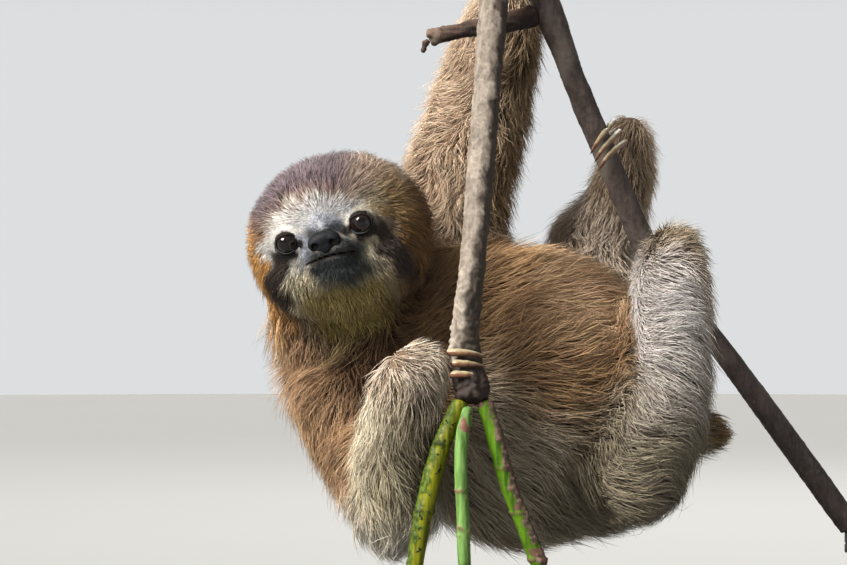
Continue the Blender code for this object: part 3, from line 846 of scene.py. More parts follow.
# One layer of the body's coat: length and width are next to the node's own, tips holds the lowest
# and the highest tip as shares of the coat's depth, spread shapes the choice between deep and bright
# tones, and hold says how far a lock is drawn to its neighbours
Layer = namedtuple("Layer", "name count rings length width tips spread hold wave seed")
LAYERS = (
    Layer("under", 35000, 2, 0.90, 1.15, (0.15, 0.75), (1.1, 2.2), 0.25, 0.9, 101),
    Layer("over", 44000, 3, 1.15, 0.49, (0.40, 1.15), (1.5, 1.1), 0.16, 1.15, 102))
GROUPS = {"trunk": ("trunk_coat", ["trunk"]), "neck": ("brown_coat", ["neck", "head"]),
          "arm_left": ("limb_coat", ["upper_arm_left", "forearm_left", "hand_left"]),
          "arm_right": ("limb_coat", ["upper_arm_right", "forearm_right", "hand_right"]),
          "leg_left": ("limb_coat", ["thigh_left", "shin_left", "foot_left"]),
          "leg_right": ("limb_coat", ["thigh_right", "shin_right", "foot_right", "tail"])}


def grow_body(layer, skin, field, material):
    """One layer of the coat of trunk, neck, tail and limbs."""
    roots = Roots(skin, layer.count, body_density(field), layer.seed)
    rng, places = roots.rng, roots.places
    count = len(places)
    shares = field.shares(places)
    length = field.blend(shares, "length") * layer.length * rng.uniform(0.65, 1.15, count)
    width = field.blend(shares, "width") * layer.width * rng.uniform(0.7, 1.2, count)
    wild = rng.random(count) < field.blend(shares, "wild")
    loft = shares @ DEPTHS * field.blend(shares, "loft")
    tip = loft * (rng.uniform(*layer.tips, count) + wild * rng.uniform(0.1, 0.6, count))
    drift = rng.normal(0, 0.10, count) + wild * rng.normal(0, 0.5, count)
    wave = field.blend(shares, "wave") * layer.wave
    near_leg = shares @ np.array([n.endswith("_right") and n[:4] in ("thig", "shin", "foot")
                                  for n in FLESH], float)
    crease = step(0.02, 0.6, 4 * near_leg * shares[:, TRUNK])
    length, tip = length * (1 - 0.5 * crease), tip * (1 - 0.6 * crease)
    length *= 1 - 0.45 * near_leg * step(0.3, 0.8, roots.normals[:, 2])
    paths = comb(field, places, length, tip, layer.rings, wave, drift, 0.5 * wave)
    paths = clumped(paths, places, 10, layer.hold, layer.seed + 1)
    normals = field.up(places)
    colours = lock_colours(*body_tones(places, normals, shares), rng, layer.spread)
    owner = shares.argmax(1)
    most = MOST_TRIANGLES // (6 * layer.rings - 2)
    for group, (slot, members) in GROUPS.items():
        mine = np.flatnonzero(np.isin(owner, [FLESH.index(m) for m in members]))
        order = mine[np.argsort(places[mine, 0], kind="stable")]
        for k, part in enumerate(np.array_split(order, math.ceil(len(mine) / most))):
            make_locks("coat_%s_%s_%d" % (layer.name, group, k + 1), paths[part], normals[part],
                       width[part], colours[part], roots.patches[part], slot, material)


def head_lengths(p):
    """Length of the head's hair in millimetres."""
    x, y, z = p.T
    reach = np.hypot(x, (z - 2) / 0.9)
    length = np.interp(reach, (0, 8, 13, 18, 28, 40), (1.2, 1.6, 2.8, 5.4, 9.0, 11.5))
    behind = step(-12, 4, y)
    length = length * (1 - behind) + 12.0 * behind
    chin = np.interp(z, (-34, -26, -19, -14), (13, 10, 5.5, 2.2))
    length = np.maximum(length, chin * step(30, 18, np.abs(x)))
    length = np.maximum(length, 16 * step(22, 31, np.abs(x)) * step(2, -12, z))
    for s in (-1, 1):
        eye = np.hypot(x - s * EYE_SIDE, z - EYE_UP)
        length = np.where(y < -15, np.minimum(length, np.interp(eye, (5, 8, 14), (1.3, 2.4, 9))),
                          length)
    return length


def bare(p):
    """1 where no hair grows: the eyes' openings, the nose pad and the lips' line."""
    x, y, z = p.T
    front = y < -26
    none = np.zeros(len(p))
    for s in (-1, 1):
        eye = np.hypot(x - s * (EYE_SIDE - 0.3), z - EYE_UP + 0.15)
        none = np.maximum(none, front * (eye < BARE_EYE))
    nose = np.hypot(x / 8.2, (z - 0.9) / 4.6)
    above = z - mouth_height(x)
    lips = (above > -0.8) & (above < 2.0) & (np.abs(x) < 11.3)
    return np.maximum(none, front * np.maximum(nose < 1, lips))


def head_density(field):
    """Where the head's locks grow: denser where they are shorter."""
    def density(places):
        p = Head.local(places)
        length = head_lengths(p)
        head = field.shares(places)[:, HEAD]
        cover = length ** 0.85 * (0.28 + 0.035 * length)
        return step(0.25, 0.6, head) * (1 - bare(p)) / cover
    return density


def grow_head(skin, field, material):
    """The coat of the head."""
    roots = Roots(skin, HEAD_LOCKS, head_density(field), HEAD_SEED)
    rng, places = roots.rng, roots.places
    p = Head.local(places)
    length = head_lengths(p) * rng.uniform(0.65, 1.2, len(p))
    width = (0.21 + 0.027 * length) * rng.uniform(0.7, 1.15, len(p)) / 1000
    wave = np.interp(length, (2, 10), (0.10, 0.26))
    drift = rng.normal(0, 0.16, len(p))
    rise = np.radians(np.interp(length, (1, 4, 10), (20, 28, 36)) * rng.uniform(0.6, 1.25, len(p)))
    lie = in_plane(head_lie(places), roots.normals)
    up = roots.normals
    swing = wave * waves(places, 0.016, 41) + drift
    path = [places - up * HEAD_ROOT_SUNK]
    steps = np.arange(HEAD_RINGS + 1) / HEAD_RINGS
    at = places
    for before, share in zip(steps, steps[1:]):
        out = Head.local(at)
        bend = rise * (1.25 - 0.9 * share)
        heading = turned(lie, up, swing * (0.5 + share))
        at = at + (heading * np.cos(bend)[:, None] + up * np.sin(bend)[:, None]) \
            * (length / 1000 * (share - before))[:, None]
        round_head = unit(out - np.array((0, 4, 0))) @ Head.turn
        up = unit(up + 0.35 * flattened(round_head, up) * step(5, 9, length)[:, None])
        lie = in_plane(lie, up)
        path.append(at)
    paths = clumped(np.stack(path, 1), places, 9, 0.35, 8)
    colours = lock_colours(*face_marks(places).pair, rng, (0.9, 0.8))
    order = np.argsort(p[:, 1], kind="stable")
    for part_name, part in zip(("face", "cheeks", "crown"), np.array_split(order, 3)):
        make_locks("coat_" + part_name, paths[part], roots.normals[part],
                   width[part], colours[part], roots.patches[part], "face_coat", material)


# ---- materials
class Nodes:
    """A material being wired up."""

    def __init__(self, name, roughness=0.6, **sockets):
        self.material = bpy.data.materials.new(name)
        self.material.use_nodes = True
        self.tree = self.material.node_tree
        self.shader = self.tree.nodes["Principled BSDF"]
        self.shader.inputs["Roughness"].default_value = roughness
        for socket, value in sockets.items():
            self.shader.inputs[socket.replace("_", " ")].default_value = value

    def add(self, kind, settings=None, **inputs):
        """A node, its settings, and its inputs by name: a link or a value."""
        node = self.tree.nodes.new("ShaderNode" + kind)
        for key, value in (settings or {}).items():
            setattr(node, key, value)
        for key, value in inputs.items():
            self.plug(node.inputs[key.replace("_", " ")], value)
        return node

    def plug(self, socket, value):
        """Link an output to a socket, or set its value."""
        if isinstance(value, bpy.types.NodeSocket):
            self.tree.links.new(value, socket)
        else:
            socket.default_value = value

    def place(self):
        """The place in the object's own space."""
        return self.add("TexCoord").outputs["Object"]

    def attribute(self, name, output="Color"):
        """A vertex attribute."""
        return self.add("Attribute", {"attribute_name": name}).outputs[output]

    def noise(self, scale, detail=4.0, stretch=(1, 1, 1), **more):
        """Noise over the piece, stretched along its axes by small numbers."""
        place = self.add("Mapping", Vector=self.place(), Scale=stretch).outputs["Vector"]
        return self.add("TexNoise", Vector=place, Scale=scale, Detail=detail, **more).outputs["Fac"]

    def ramp(self, fac, *stops):
        """Colour ramp of (place, colour) stops."""
        node = self.add("ValToRGB", Fac=fac)
        band = node.color_ramp
        while len(band.elements) < len(stops):
            band.elements.new(1.0)
        for element, (place, colour) in zip(band.elements, stops):
            element.position = place
            colour = (colour,) * 3 if isinstance(colour, (int, float)) else colour
            element.color = (*colour, 1.0)
        return node.outputs["Color"]

    def mix(self, a, b, fac, blend="MIX"):
        """Mix of two colours."""
        node = self.add("Mix", {"data_type": "RGBA", "blend_type": blend})
        self.plug(node.inputs[0], fac)
        for socket, value in ((node.inputs[6], a), (node.inputs[7], b)):
            self.plug(socket, (*value, 1.0) if isinstance(value, tuple) else value)
        return node.outputs[2]

    def math(self, operation, a, b=0.0):
        """One sum."""
        node = self.add("Math", {"operation": operation})
        self.plug(node.inputs[0], a)
        self.plug(node.inputs[1], b)
        return node.outputs[0]

    def between(self, noise, low, high):
        """The middle of a noise spread from one value or colour to another."""
        return self.ramp(noise, (0.3, low), (0.7, high))

    def shaken(self, value, noise, amount):
        """A value made uneven by a noise."""
        swing = self.math("MULTIPLY", self.math("SUBTRACT", noise, 0.5), amount)
        return self.math("ADD", value, swing)

    def darker_side(self, colour, flake, patches, dark_side, lift, edge, cover):
        """A colour under its darker side, which is paler by lift in patches: painted shade on the
        bark, the rough rind's own dark tone on the shoots.
        """
        side = self.shaken(self.attribute("side", "Fac"), flake, 0.7)
        dark = self.mix(dark_side, tuple(lift * v for v in dark_side), patches)
        return self.mix(colour, dark, self.ramp(side, (edge[0], 0.0), (edge[1], cover)))

    def finish(self, colour, roughness=None, bump=None, strength=0.3, distance=0.001):
        """Wire the shader and give the material."""
        self.plug(self.shader.inputs["Base Color"], colour)
        if roughness is not None:
            self.plug(self.shader.inputs["Roughness"], roughness)
        if bump is not None:
            node = self.add("Bump", Height=bump, Strength=strength, Distance=distance)
            self.plug(self.shader.inputs["Normal"], node.outputs["Normal"])
        return self.material


def coat_material():
    """Hair: the lock's own colour, darker at its root and paler at its tip."""
    m = Nodes("coat", 0.60, Specular_IOR_Level=0.22, Sheen_Weight=0.06, Sheen_Roughness=0.45)
    along = m.attribute("tip", "Fac")
    # Darker towards the root and paler to the tip: partly the hair's own colour, partly painted shade
    # deep in the coat.
    shade = m.ramp(along, (0.0, 0.35), (0.35, 0.71), (0.8, 0.90), (1.0, 1.0))
    colour = m.mix(m.attribute("coat"), shade, 1.0, "MULTIPLY")
    streak = m.noise(900.0, 2.0)
    colour = m.mix(colour, m.between(streak, 0.76, 1.0), 1.0, "MULTIPLY")
    roughness = m.math("MULTIPLY_ADD", m.attribute("lock", "Fac"), 0.18)
    roughness.node.inputs[2].default_value = 0.52
    return m.finish(colour, roughness)


def skin_material():
    """Under the coat: the same markings, deeper, with fine short hair as bump."""
    m = Nodes("skin", 0.8, Specular_IOR_Level=0.12)
    fine = m.noise(1300.0, 3.0)
    colour = m.mix(m.attribute("coat"), m.between(fine, 0.55, 0.98), 1.0, "MULTIPLY")
    return m.finish(colour, None, fine, 0.35, 0.0004)


def eye_material():
    """Dark brown iris round a wide black pupil, under a damp, glossy surface."""
    m = Nodes("eye", 0.10, Specular_IOR_Level=0.16, Coat_Weight=0.40, Coat_Roughness=0.02)
    reach = m.shaken(m.attribute("iris", "Fac"), m.noise(1500.0, 3.0), 0.06)
    colour = m.ramp(reach, (0.0, (0.002, 0.0015, 0.0015)), (0.34, (0.003, 0.002, 0.002)),
                    (0.40, (0.011, 0.006, 0.005)), (0.62, (0.008, 0.005, 0.004)),
                    (0.74, (0.005, 0.004, 0.004)), (1.0, (0.012, 0.008, 0.007)))
    return m.finish(colour)


def lid_material():
    """Bare black skin, with a pale line of painted highlight along the edge of the lower lid."""
    m = Nodes("lid", 0.6, Specular_IOR_Level=0.1)
    fine = m.noise(900.0, 3.0)
    colour = m.between(fine, (0.004, 0.003, 0.003), (0.012, 0.009, 0.008))
    # A pale line on the lower lid's edge: painted highlight.
    colour = m.mix(colour, (0.13, 0.15, 0.18), m.attribute("wet", "Fac"))
    return m.finish(colour, None, fine, 0.3, 0.0002)


def nose_material():
    """Bare, damp, finely pebbled black skin."""
    m = Nodes("nose", 0.6, Specular_IOR_Level=0.08)
    pebble = m.add("TexVoronoi", Vector=m.place(), Scale=1500.0).outputs["Distance"]
    tone = m.noise(300.0)
    colour = m.between(tone, (0.004, 0.0045, 0.005), (0.012, 0.013, 0.015))
    rough = m.ramp(pebble, (0.0, 0.42), (0.8, 0.65))
    return m.finish(colour, rough, pebble, 0.35, 0.0003)


def claw_material():
    """Horn: ivory on the faces turned up, red-brown on those turned down, with lengthwise grain;
    partly the horn's own tones, partly painted light from above.
    """
    m = Nodes("claw", 0.42, Specular_IOR_Level=0.35, Coat_Weight=0.08, Coat_Roughness=0.3)
    grain = m.noise(420.0, 5.0)
    level = m.shaken(m.attribute("upper", "Fac"), grain, 0.5)
    colour = m.ramp(level, (0.18, (0.050, 0.018, 0.009)), (0.50, (0.150, 0.064, 0.030)),
                    (0.72, (0.230, 0.178, 0.098)), (1.0, (0.310, 0.270, 0.170)))
    return m.finish(colour, m.between(grain, 0.28, 0.52), grain, 0.3, 0.0003)


def bark_material(name, deep, bright, knot, dark_side, scale):
    """Bark: tones along its ridges, a side in painted shade, knots and a fine grain."""
    m = Nodes(name, 0.75, Specular_IOR_Level=0.25)
    grain = m.noise(scale, 7.0, (1, 1, 0.22), Roughness=0.7)
    flake = m.noise(scale * 0.9, 3.0)
    ridge = m.math("MULTIPLY", m.attribute("ridge", "Fac"), 0.40)
    tone = m.math("ADD", m.math("MULTIPLY", grain, 0.62), ridge)
    half = tuple(0.5 * (a + b) for a, b in zip(deep, bright))
    colour = m.ramp(tone, (0.33, deep), (0.50, half), (0.66, bright))
    patches = m.ramp(grain, (0.42, 0.0), (0.62, 1.0))
    colour = m.darker_side(colour, flake, patches, dark_side, 2.4, (0.34, 0.76), 0.92)
    colour = m.mix(colour, knot, m.ramp(flake, (0.64, 0.0), (0.74, 0.45)))
    colour = m.mix(colour, knot, m.attribute("knot", "Fac"))
    return m.finish(colour, m.between(grain, 0.60, 0.88), grain, 0.8, 0.0010)


def green_material(name, deep, bright, spot, dark_side, size):
    """Young shoot: green rind with a rough side, scars and small spots."""
    m = Nodes(name, 0.6, Specular_IOR_Level=0.16)
    along = m.noise(520.0, 5.0, (1, 1, 0.12))
    rough = m.noise(420.0, 5.0)
    colour = m.ramp(along, (0.36, deep), (0.64, bright))
    patches = m.ramp(rough, (0.45, 0.0), (0.6, 1.0))
    colour = m.darker_side(colour, rough, patches, dark_side, 2.6, (0.44, 0.56), 0.95)
    colour = m.mix(colour, spot, m.ramp(m.noise(size, 1.0), (0.66, 0.0), (0.69, 1.0)))
    colour = m.mix(colour, spot, m.attribute("knot", "Fac"))
    return m.finish(colour, m.ramp(rough, (0.45, 0.50), (0.7, 0.80)), rough, 0.35, 0.0005)


def steel_material():
    """Black powder coat with its fine orange peel."""
    m = Nodes("powder_coat", 0.5, Specular_IOR_Level=0.5)
    peel = m.noise(900.0, 3.0)
    cloud = m.noise(35.0, 3.0)
    colour = m.between(cloud, (0.022, 0.022, 0.024), (0.030, 0.030, 0.032))
    return m.finish(colour, m.between(peel, 0.42, 0.58), peel, 0.12, 0.0002)


def floor_material():
    """Plain pale floor."""
    m = Nodes("floor", 0.85, Specular_IOR_Level=0.2)
    cloud = m.noise(3.0, 2.0)
    return m.finish(m.between(cloud, (0.250, 0.250, 0.246), (0.254, 0.254, 0.250)))


# ---- eyes, nose and claws
EYE_RINGS, EYE_SIDES = 40, 48
CORNEA_RISE = 0.00035
EYE_OUTWARD = math.radians(9)
IRIS_REACH = 1.1             # angle from the eye's axis at which its colour ends
LID_REACH = 0.0085           # half the room the lids of an eye are meshed in


def make_eye(node, side, material):
    """An eyeball with a slightly raised cornea, turned a little outwards."""
    low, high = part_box(node)
    radius = (high - low).length / 2 / math.sqrt(3)
    polar = np.linspace(0, math.pi, EYE_RINGS + 1)[1:-1]
    swell = radius + CORNEA_RISE * (1 - step(0.45, 0.75, polar))
    local, faces = turned_form(swell * np.sin(polar), swell * np.cos(polar),
                               (radius + CORNEA_RISE, -radius), EYE_SIDES)
    forward = -Head.back * math.cos(EYE_OUTWARD) + Head.side * side * math.sin(EYE_OUTWARD)
    across = unit(np.cross(Head.up, forward))
    axes = np.stack([across, np.cross(forward, across), forward])
    iris = np.concatenate([np.repeat(polar, EYE_SIDES), [0, math.pi]]) / IRIS_REACH
    mesh_object(node + "_ball", local @ axes + middle_of(node), faces, material, "eye", (node,),
                iris=iris)


def make_lids(material):
    """Upper and lower lid of each eye, as one ring on the eyeball, with a painted highlight along the
    lower lid's inner edge.
    """
    for s, side in ((-1, "right"), (1, "left")):
        middle = np.array((s * EYE_SIDE, -EYE_FORWARD, EYE_UP))
        centre = Head.world(middle)
        grid = Grid(centre - LID_REACH, centre + LID_REACH, LID_VOXEL)
        q = Head.local(grid.places()) - middle
        ball = np.linalg.norm(q, axis=-1)
        form = np.maximum(np.maximum(ball - LID_OUTSIDE, LID_INSIDE - ball), q[..., 1] + 0.6)
        form = carved(form, np.maximum(lid_opening(q, s), q[..., 1]), 0.45)
        points, quads = grid.surface(form.astype(np.float32) / 1000)
        q = Head.local(points) - middle
        # Where the lower lid's edge gets its pale line of painted highlight.
        wet = 0.5 * step(0.5, 0.1, lid_opening(q, s)) * step(-1.9, -3.1, q[:, 2] + 0.35 * q[:, 0])
        mesh_object("lid_" + side, points, quads, material, "nose_skin", ("head",), wet=wet)


def nose_form(p):
    """Broad nose pad with wings, two slanting nostrils and a groove down to the lip."""
    form = ellipsoid(p, (0, -39.0, 1.5), (6.9, 3.9, 3.8))
    for s in (-1, 1):
        form = bulged(form, p, (s * 4.6, -39.6, -0.1), (3.1, 3.2, 2.9), 2.0)
    form = bulged(form, p, (0, -39.0, -2.9), (2.6, 2.8, 2.6), 2.4)
    for s in (-1, 1):
        form = grooved(form, p, (s * 3.2, -45.0, -1.7), (s * 4.7, -40.0, -0.5), 1.55, 0.8)
        form = grooved(form, p, (s * 4.8, -43.8, -1.5), (s * 7.8, -41.6, 0.1), 0.60, 0.8)
    return grooved(form, p, (0, -43.9, -0.2), (0, -42.0, -6.0), 0.45, 1.0)


def make_nose(material):
    """The nose pad, finely meshed."""
    surface = formed(nose_form, (0, -41.0, -0.8), (11.0, 8.5, 9.0), NOSE_VOXEL)
    mesh_object("nose_pad", *surface, material, "nose_skin", ("nose",))


def refined(node, voxel, rounds):
    """A CAD node's form, meshed finely and softened: points, quads and normals."""
    points, faces = arrays_of(NODES[node])
    grid = Grid(points.min(0) - EDGE, points.max(0) + EDGE, voxel)
    field = blurred(grid.distance_to(points, faces, EDGE), rounds)
    points, quads = grid.surface(field)
    return points, quads, normals_of(points, quads)


def make_claws(material):
    """Curved horn claws."""
    for node in sorted(n for n in NODES if n.startswith("claw_")):
        points, quads, normals = refined(node, CLAW_VOXEL, 1)
        grain = 0.00006 * waves(points * (1, 1, 2.5), 0.004, 51)
        # upper: paler on faces turned up, partly painted light from above.
        mesh_object(node + "_horn", points + normals * grain[:, None], quads, material,
                    "claw_horn", (node,), upper=normals[:, 2] * 0.5 + 0.5)


# ---- perch
# Each of the barks below gives, for points with normals on a node: how far it stands out in
# millimetres,
# how much it is knot, and its darker side: painted shade on bark, the rough rind on the shoots
def bump_at(value, centre, width):
    """A smooth bump of height 1."""
    return np.exp(-((value - centre) / width) ** 2)


def rough_bark(points, seed):
    """Thin ring ridges and cracks across a stem, and slow swellings, in millimetres."""
    height = points[:, 2]
    slip = 0.0030 * waves(points, 0.010, seed) + 0.0012 * waves(points, 0.004, seed + 1)
    rings = np.abs(np.sin((height + slip) * math.pi / 0.0085)) ** 16
    cracks = np.abs(np.sin((height + slip * 1.8) * math.pi / 0.0034)) ** 8
    lumps = waves(points, 0.0045, seed + 2)
    swelling = waves(points, 0.022, seed + 3)
    return 0.34 * rings - 0.22 * cracks + 0.10 * lumps + 0.16 * swelling


def vine_bark(points, normals, node):
    """Ridges, with knots at the top, scaly bark low down and a dark joint at the foot."""
    height = share_of(node, points, 2)
    scaly = step(0.36, 0.16, height) * np.abs(waves(points, 0.005, 64))
    knot = bump_at(height, 0.96, 0.018) + bump_at(height, 0.905, 0.012)
    knot *= step(-0.5, 0.6, waves(points, 0.013, 65) + 0.4)
    foot = step(0.13, 0.05, height + 0.02 * waves(points, 0.006, 66))
    lumpy = foot * (0.55 * waves(points, 0.0032, 67) + 0.7 * np.abs(waves(points, 0.007, 68)))
    # The side: painted shade on faces turned to +x, away from the key light, with more of it low down
    # and at the foot.
    side = 0.5 + 0.75 * (normals[:, 0] - 0.25) + 0.5 * step(0.42, 0.12, height) \
        + 0.18 * waves(points, 0.012, 69)
    return (rough_bark(points, 61) + 0.8 * scaly + knot + lumpy,
            0.6 * knot + 0.70 * foot, side + foot)


def branch_bark(points, normals, node):
    """Smooth bark with a few rings and slow swellings."""
    # The side: painted shade on faces turned to +x, away from the key light.
    return (0.5 * rough_bark(points, 71), 0.6 * waves(points, 0.03, 72) - 0.3,
            0.25 + 0.35 * normals[:, 0] + 0.2 * waves(points, 0.02, 73))


def stub_bark(points, normals, node):
    """Long fissures and a knobby broken end."""
    around = np.stack([points[:, 0] * 0.18, points[:, 1], points[:, 2]], -1)
    end = step(0.25, 0.0, share_of(node, points, 0))
    furrow = np.abs(waves(around, 0.0035, 81))
    # The side: painted shade on faces turned down.
    return (0.5 - 0.8 * furrow + end * 0.9 * waves(points, 0.006, 82), 0.35 * end,
            0.45 - 0.6 * normals[:, 2] + 0.25 * waves(around, 0.006, 83))


def shoot_bark(joints, side, lean, seed):
    """Smooth rind with scarred joints at shares of the way down, rough on one side."""
    def bark(points, normals, node):
        down = 1 - share_of(node, points, 2)
        scar = sum(bump_at(down, joint, 0.016) for joint in joints)
        scar = scar * step(-0.3, 0.5, waves(points, 0.005, seed))
        rough = side + lean * normals[:, 0] + 0.22 * waves(points, 0.006, seed + 2)
        crust = step(0.45, 0.7, rough) * (0.3 + 0.3 * waves(points, 0.002, seed + 3))
        return 0.12 * waves(points, 0.012, seed + 1) + 0.7 * scar + crust, 0.9 * scar, rough
    return bark


def make_wood(node, bark, slot, material):
    """One piece of the perch, its surface raised by its bark."""
    points, quads, normals = refined(node, BARK_VOXEL, 3)
    raised, knot, side = bark(points, normals, node)
    mesh_object(node + "_bark", points + normals * raised[:, None] / 1000, quads, material,
                slot, (node,), ridge=np.clip(0.5 + raised * 0.6, 0, 1),
                knot=np.clip(knot, 0, 1), side=np.clip(side, 0, 1))


# Deep, bright, knot and dark side's tone of each bark, that side being painted shade, and its grain's
# scale
BARKS = {
    "dark_bark": ((0.020, 0.013, 0.012), (0.098, 0.075, 0.066),
                  (0.150, 0.125, 0.105), (0.015, 0.010, 0.009), 260.0),
    "stub_bark": ((0.008, 0.004, 0.003), (0.075, 0.042, 0.030),
                  (0.20, 0.15, 0.11), (0.006, 0.004, 0.004), 300.0),
    "vine_bark": ((0.066, 0.049, 0.038), (0.265, 0.225, 0.183),
                  (0.020, 0.012, 0.010), (0.015, 0.010, 0.007), 300.0)}
# The same of each green rind, its dark side being the rough rind's own tone, and the scale of its
# spots
RINDS = {
    "mottled_shoot": ((0.048, 0.056, 0.001), (0.150, 0.150, 0.002),
                      (0.010, 0.012, 0.004), (0.024, 0.038, 0.003), 420.0),
    "green_shoot": ((0.045, 0.098, 0.016), (0.125, 0.230, 0.060),
                    (0.13, 0.060, 0.040), (0.035, 0.052, 0.016), 120.0),
    "bright_shoot": ((0.018, 0.050, 0.001), (0.062, 0.135, 0.002),
                     (0.085, 0.045, 0.030), (0.050, 0.032, 0.024), 150.0)}
# Each piece of the perch: its bark, slot and material
PERCH = {
    "perch_branch": (branch_bark, "dark_bark", "dark_bark"),
    "perch_stub": (stub_bark, "dark_bark", "stub_bark"),
    "perch_twig": (stub_bark, "dark_bark", "stub_bark"),
    "perch_vine": (vine_bark, "vine_bark", "vine_bark"),
    "perch_shoot_left": (shoot_bark((0.25, 0.62), 0.34, -0.50, 91),
                         "mottled_shoot", "mottled_shoot"),
    "perch_shoot_middle": (shoot_bark((0.12, 0.53, 0.75, 0.79), 0.12, 0.32, 93),
                           "green_shoot", "green_shoot"),
    "perch_shoot_right": (shoot_bark((0.40, 0.52, 0.66, 0.94), 0.40, 0.55, 95),
                          "green_shoot", "bright_shoot")}


def make_perch():
    """Branch, stub, twig, vine and its three shoots."""
    materials = {name: bark_material(name, *tones) for name, tones in BARKS.items()}
    materials.update((name, green_material(name, *tones)) for name, tones in RINDS.items())
    for node, (bark, slot, material) in PERCH.items():
        make_wood(node, bark, slot, materials[material])


# ---- stand
ROD_SIDES = 64
ROD_PROFILE = ((8.4, 0.0, 0), (8.8, 0.5, 0), (8.8, 2.4, 0), (8.3, 2.9, 0), (5.0, 3.1, 0),
               (4.2, 3.6, 0), (4.0, 4.6, 0), (4.0, -12.6, 1), (4.3, -11.9, 1), (5.2, -11.4, 1),
               (8.0, -11.2, 1), (8.5, -10.6, 1), (8.5, -7.3, 1), (8.1, -6.9, 1), (8.1, -6.5, 1),
               (8.5, -6.1, 1), (8.5, -0.7, 1), (8.0, 0.0, 1))   # radius, height, from the top


def make_rod(node, material):
    """A turned rod: a flange on the base, the rod, and a collar that grips the wood."""
    low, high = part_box(node)
    radii = [r / 1000 for r, _, _ in ROD_PROFILE]
    heights = [(high.z if top else low.z) + z / 1000 for _, z, top in ROD_PROFILE]
    points, faces = turned_form(radii, heights, (heights[0], heights[-1]), ROD_SIDES)
    centre = middle_of(node) * (1, 1, 0)
    piece = mesh_object(node + "_turned", points + centre, faces[:, ::-1], material,
                        "stand_steel", (node,))
    piece.data.set_sharp_from_angle(angle=math.radians(40))


def make_stand():
    """The base keeps its CAD form under a better material, the rods are turned."""
    steel = steel_material()
    base = NODES["stand_base"]
    base.data.materials.clear()
    base.data.materials.append(steel)
    for node in ("stand_rod_branch", "stand_rod_vine"):
        make_rod(node, steel)


# ---- studio
CAMERA_PLACE = (-0.070, -1.60, 0.185)
CAMERA_LENS = 142.8
LIT = (-0.03, 0.0, 0.18)     # where the lamps are aimed
FLOOR_RADIUS, FLOOR_SIDES = 4.0, 96
SKY = ((0.08, 0.74), (0.15, 0.37), (0.75, 0.30))   # height and brightness


def make_light(kind, name, place, strength, softness, colour):
    """A lamp aimed at the model, with a SUN's spread or an AREA's width as its softness."""
    light = bpy.data.lights.new(name, kind)
    setattr(light, "angle" if kind == "SUN" else "size", softness)
    light.energy = strength
    light.color = colour
    lamp = bpy.data.objects.new(name, light)
    lamp.location = place
    lamp.rotation_euler = (Vector(LIT) - Vector(place)).to_track_quat("-Z", "Y").to_euler()
    bpy.context.scene.collection.objects.link(lamp)


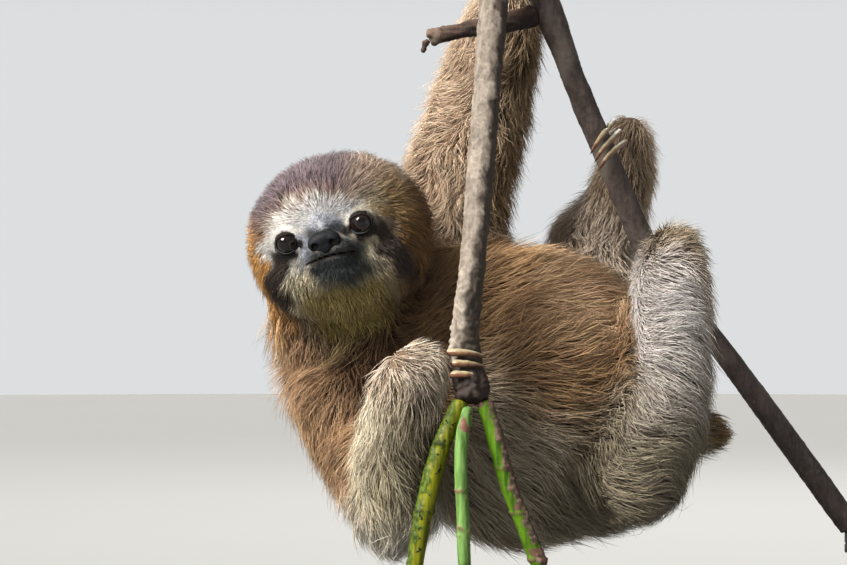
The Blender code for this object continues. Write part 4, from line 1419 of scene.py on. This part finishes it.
def make_studio():
    """Floor, world, three soft lights and the camera."""
    turn = np.linspace(0, math.tau, FLOOR_SIDES, endpoint=False)
    rim = [(FLOOR_RADIUS * math.cos(t), FLOOR_RADIUS * math.sin(t), 0) for t in turn]
    faces = [(FLOOR_SIDES, k, (k + 1) % FLOOR_SIDES) for k in range(FLOOR_SIDES)]
    floor = mesh_object("floor", np.array(rim + [(0, 0, 0)]), np.array(faces), floor_material())

    scene = bpy.context.scene
    scene.view_settings.view_transform = "Standard"
    world = bpy.data.worlds.new("studio")
    world.use_nodes = True
    tree = world.node_tree
    place = tree.nodes.new("ShaderNodeTexCoord").outputs["Generated"]
    height = tree.nodes.new("ShaderNodeSeparateXYZ")
    shade = tree.nodes.new("ShaderNodeValToRGB")
    shade.color_ramp.elements.new(0.3)
    for element, (at, tone) in zip(shade.color_ramp.elements, SKY):
        element.position = at
        element.color = (tone * 0.97, tone * 0.99, tone, 1.0)
    tree.links.new(place, height.inputs[0])
    tree.links.new(height.outputs["Z"], shade.inputs["Fac"])
    tree.links.new(shade.outputs["Color"], tree.nodes["Background"].inputs["Color"])
    scene.world = world
    make_light("SUN", "key", (-1.30, -0.90, 1.40), 10.8, math.radians(28), (1.0, 0.97, 0.92))
    make_light("AREA", "fill", (1.3, -1.2, 0.45), 3.0, 1.2, (0.95, 0.98, 1.0))
    make_light("AREA", "rim", (0.35, 1.3, 1.2), 16.0, 0.9, (1.0, 0.99, 0.96))

    camera = bpy.data.objects.new("camera", bpy.data.cameras.new("camera"))
    camera.location = CAMERA_PLACE
    camera.rotation_euler = (math.radians(90), 0.0, 0.0)
    camera.data.lens = CAMERA_LENS
    camera.data.clip_start = 0.01
    scene.collection.objects.link(camera)
    scene.camera = camera


# ---- the model
def make_skin(field):
    """One skin for all nodes of flesh, unwrapped and marked like the coat."""
    head = formed(head_form, (0, 0, 0), (52.0, 52.0, 50.0), HEAD_VOXEL)
    skin = united(field.grid.surface(field.skin), head)
    stand_in(skin, FLESH)
    bpy.context.view_layer.objects.active = skin
    skin.select_set(True)
    skin.data.uv_layers.new(name="OFBake")
    bpy.ops.object.mode_set(mode="EDIT")
    bpy.ops.mesh.select_all(action="SELECT")
    bpy.ops.uv.smart_project(angle_limit=math.radians(66), island_margin=0.002)
    bpy.ops.object.mode_set(mode="OBJECT")
    mesh = skin.data
    mesh.shade_smooth()
    points, faces = arrays_of(skin)
    shares = field.shares(points)
    deep, bright = body_tones(points, normals_of(points, faces), shares)
    p = Head.local(points)
    face = step(14, 5, head_lengths(p) * 2) * shares[:, HEAD]
    # Under the coat the skin takes half its deep tone, painted shade between the locks; where the
    # face's hair is short it keeps a mix of its deep and bright tones.
    paint(mesh, "coat", mix(deep * 0.5, mix(deep, bright, 0.3 * np.ones(len(p))), face))
    mesh.materials.clear()
    mesh.materials.append(skin_material())
    return skin


def main():
    """Build everything in its order."""
    field = Field(*make_body_surface())
    skin = make_skin(field)
    coat = coat_material()
    for layer in LAYERS:
        grow_body(layer, skin, field, coat)
    grow_head(skin, field, coat)
    eye = eye_material()
    make_eye("eye_right", -1, eye)
    make_eye("eye_left", 1, eye)
    make_lids(lid_material())
    make_nose(nose_material())
    make_claws(claw_material())
    make_perch()
    make_stand()
    make_studio()


main()
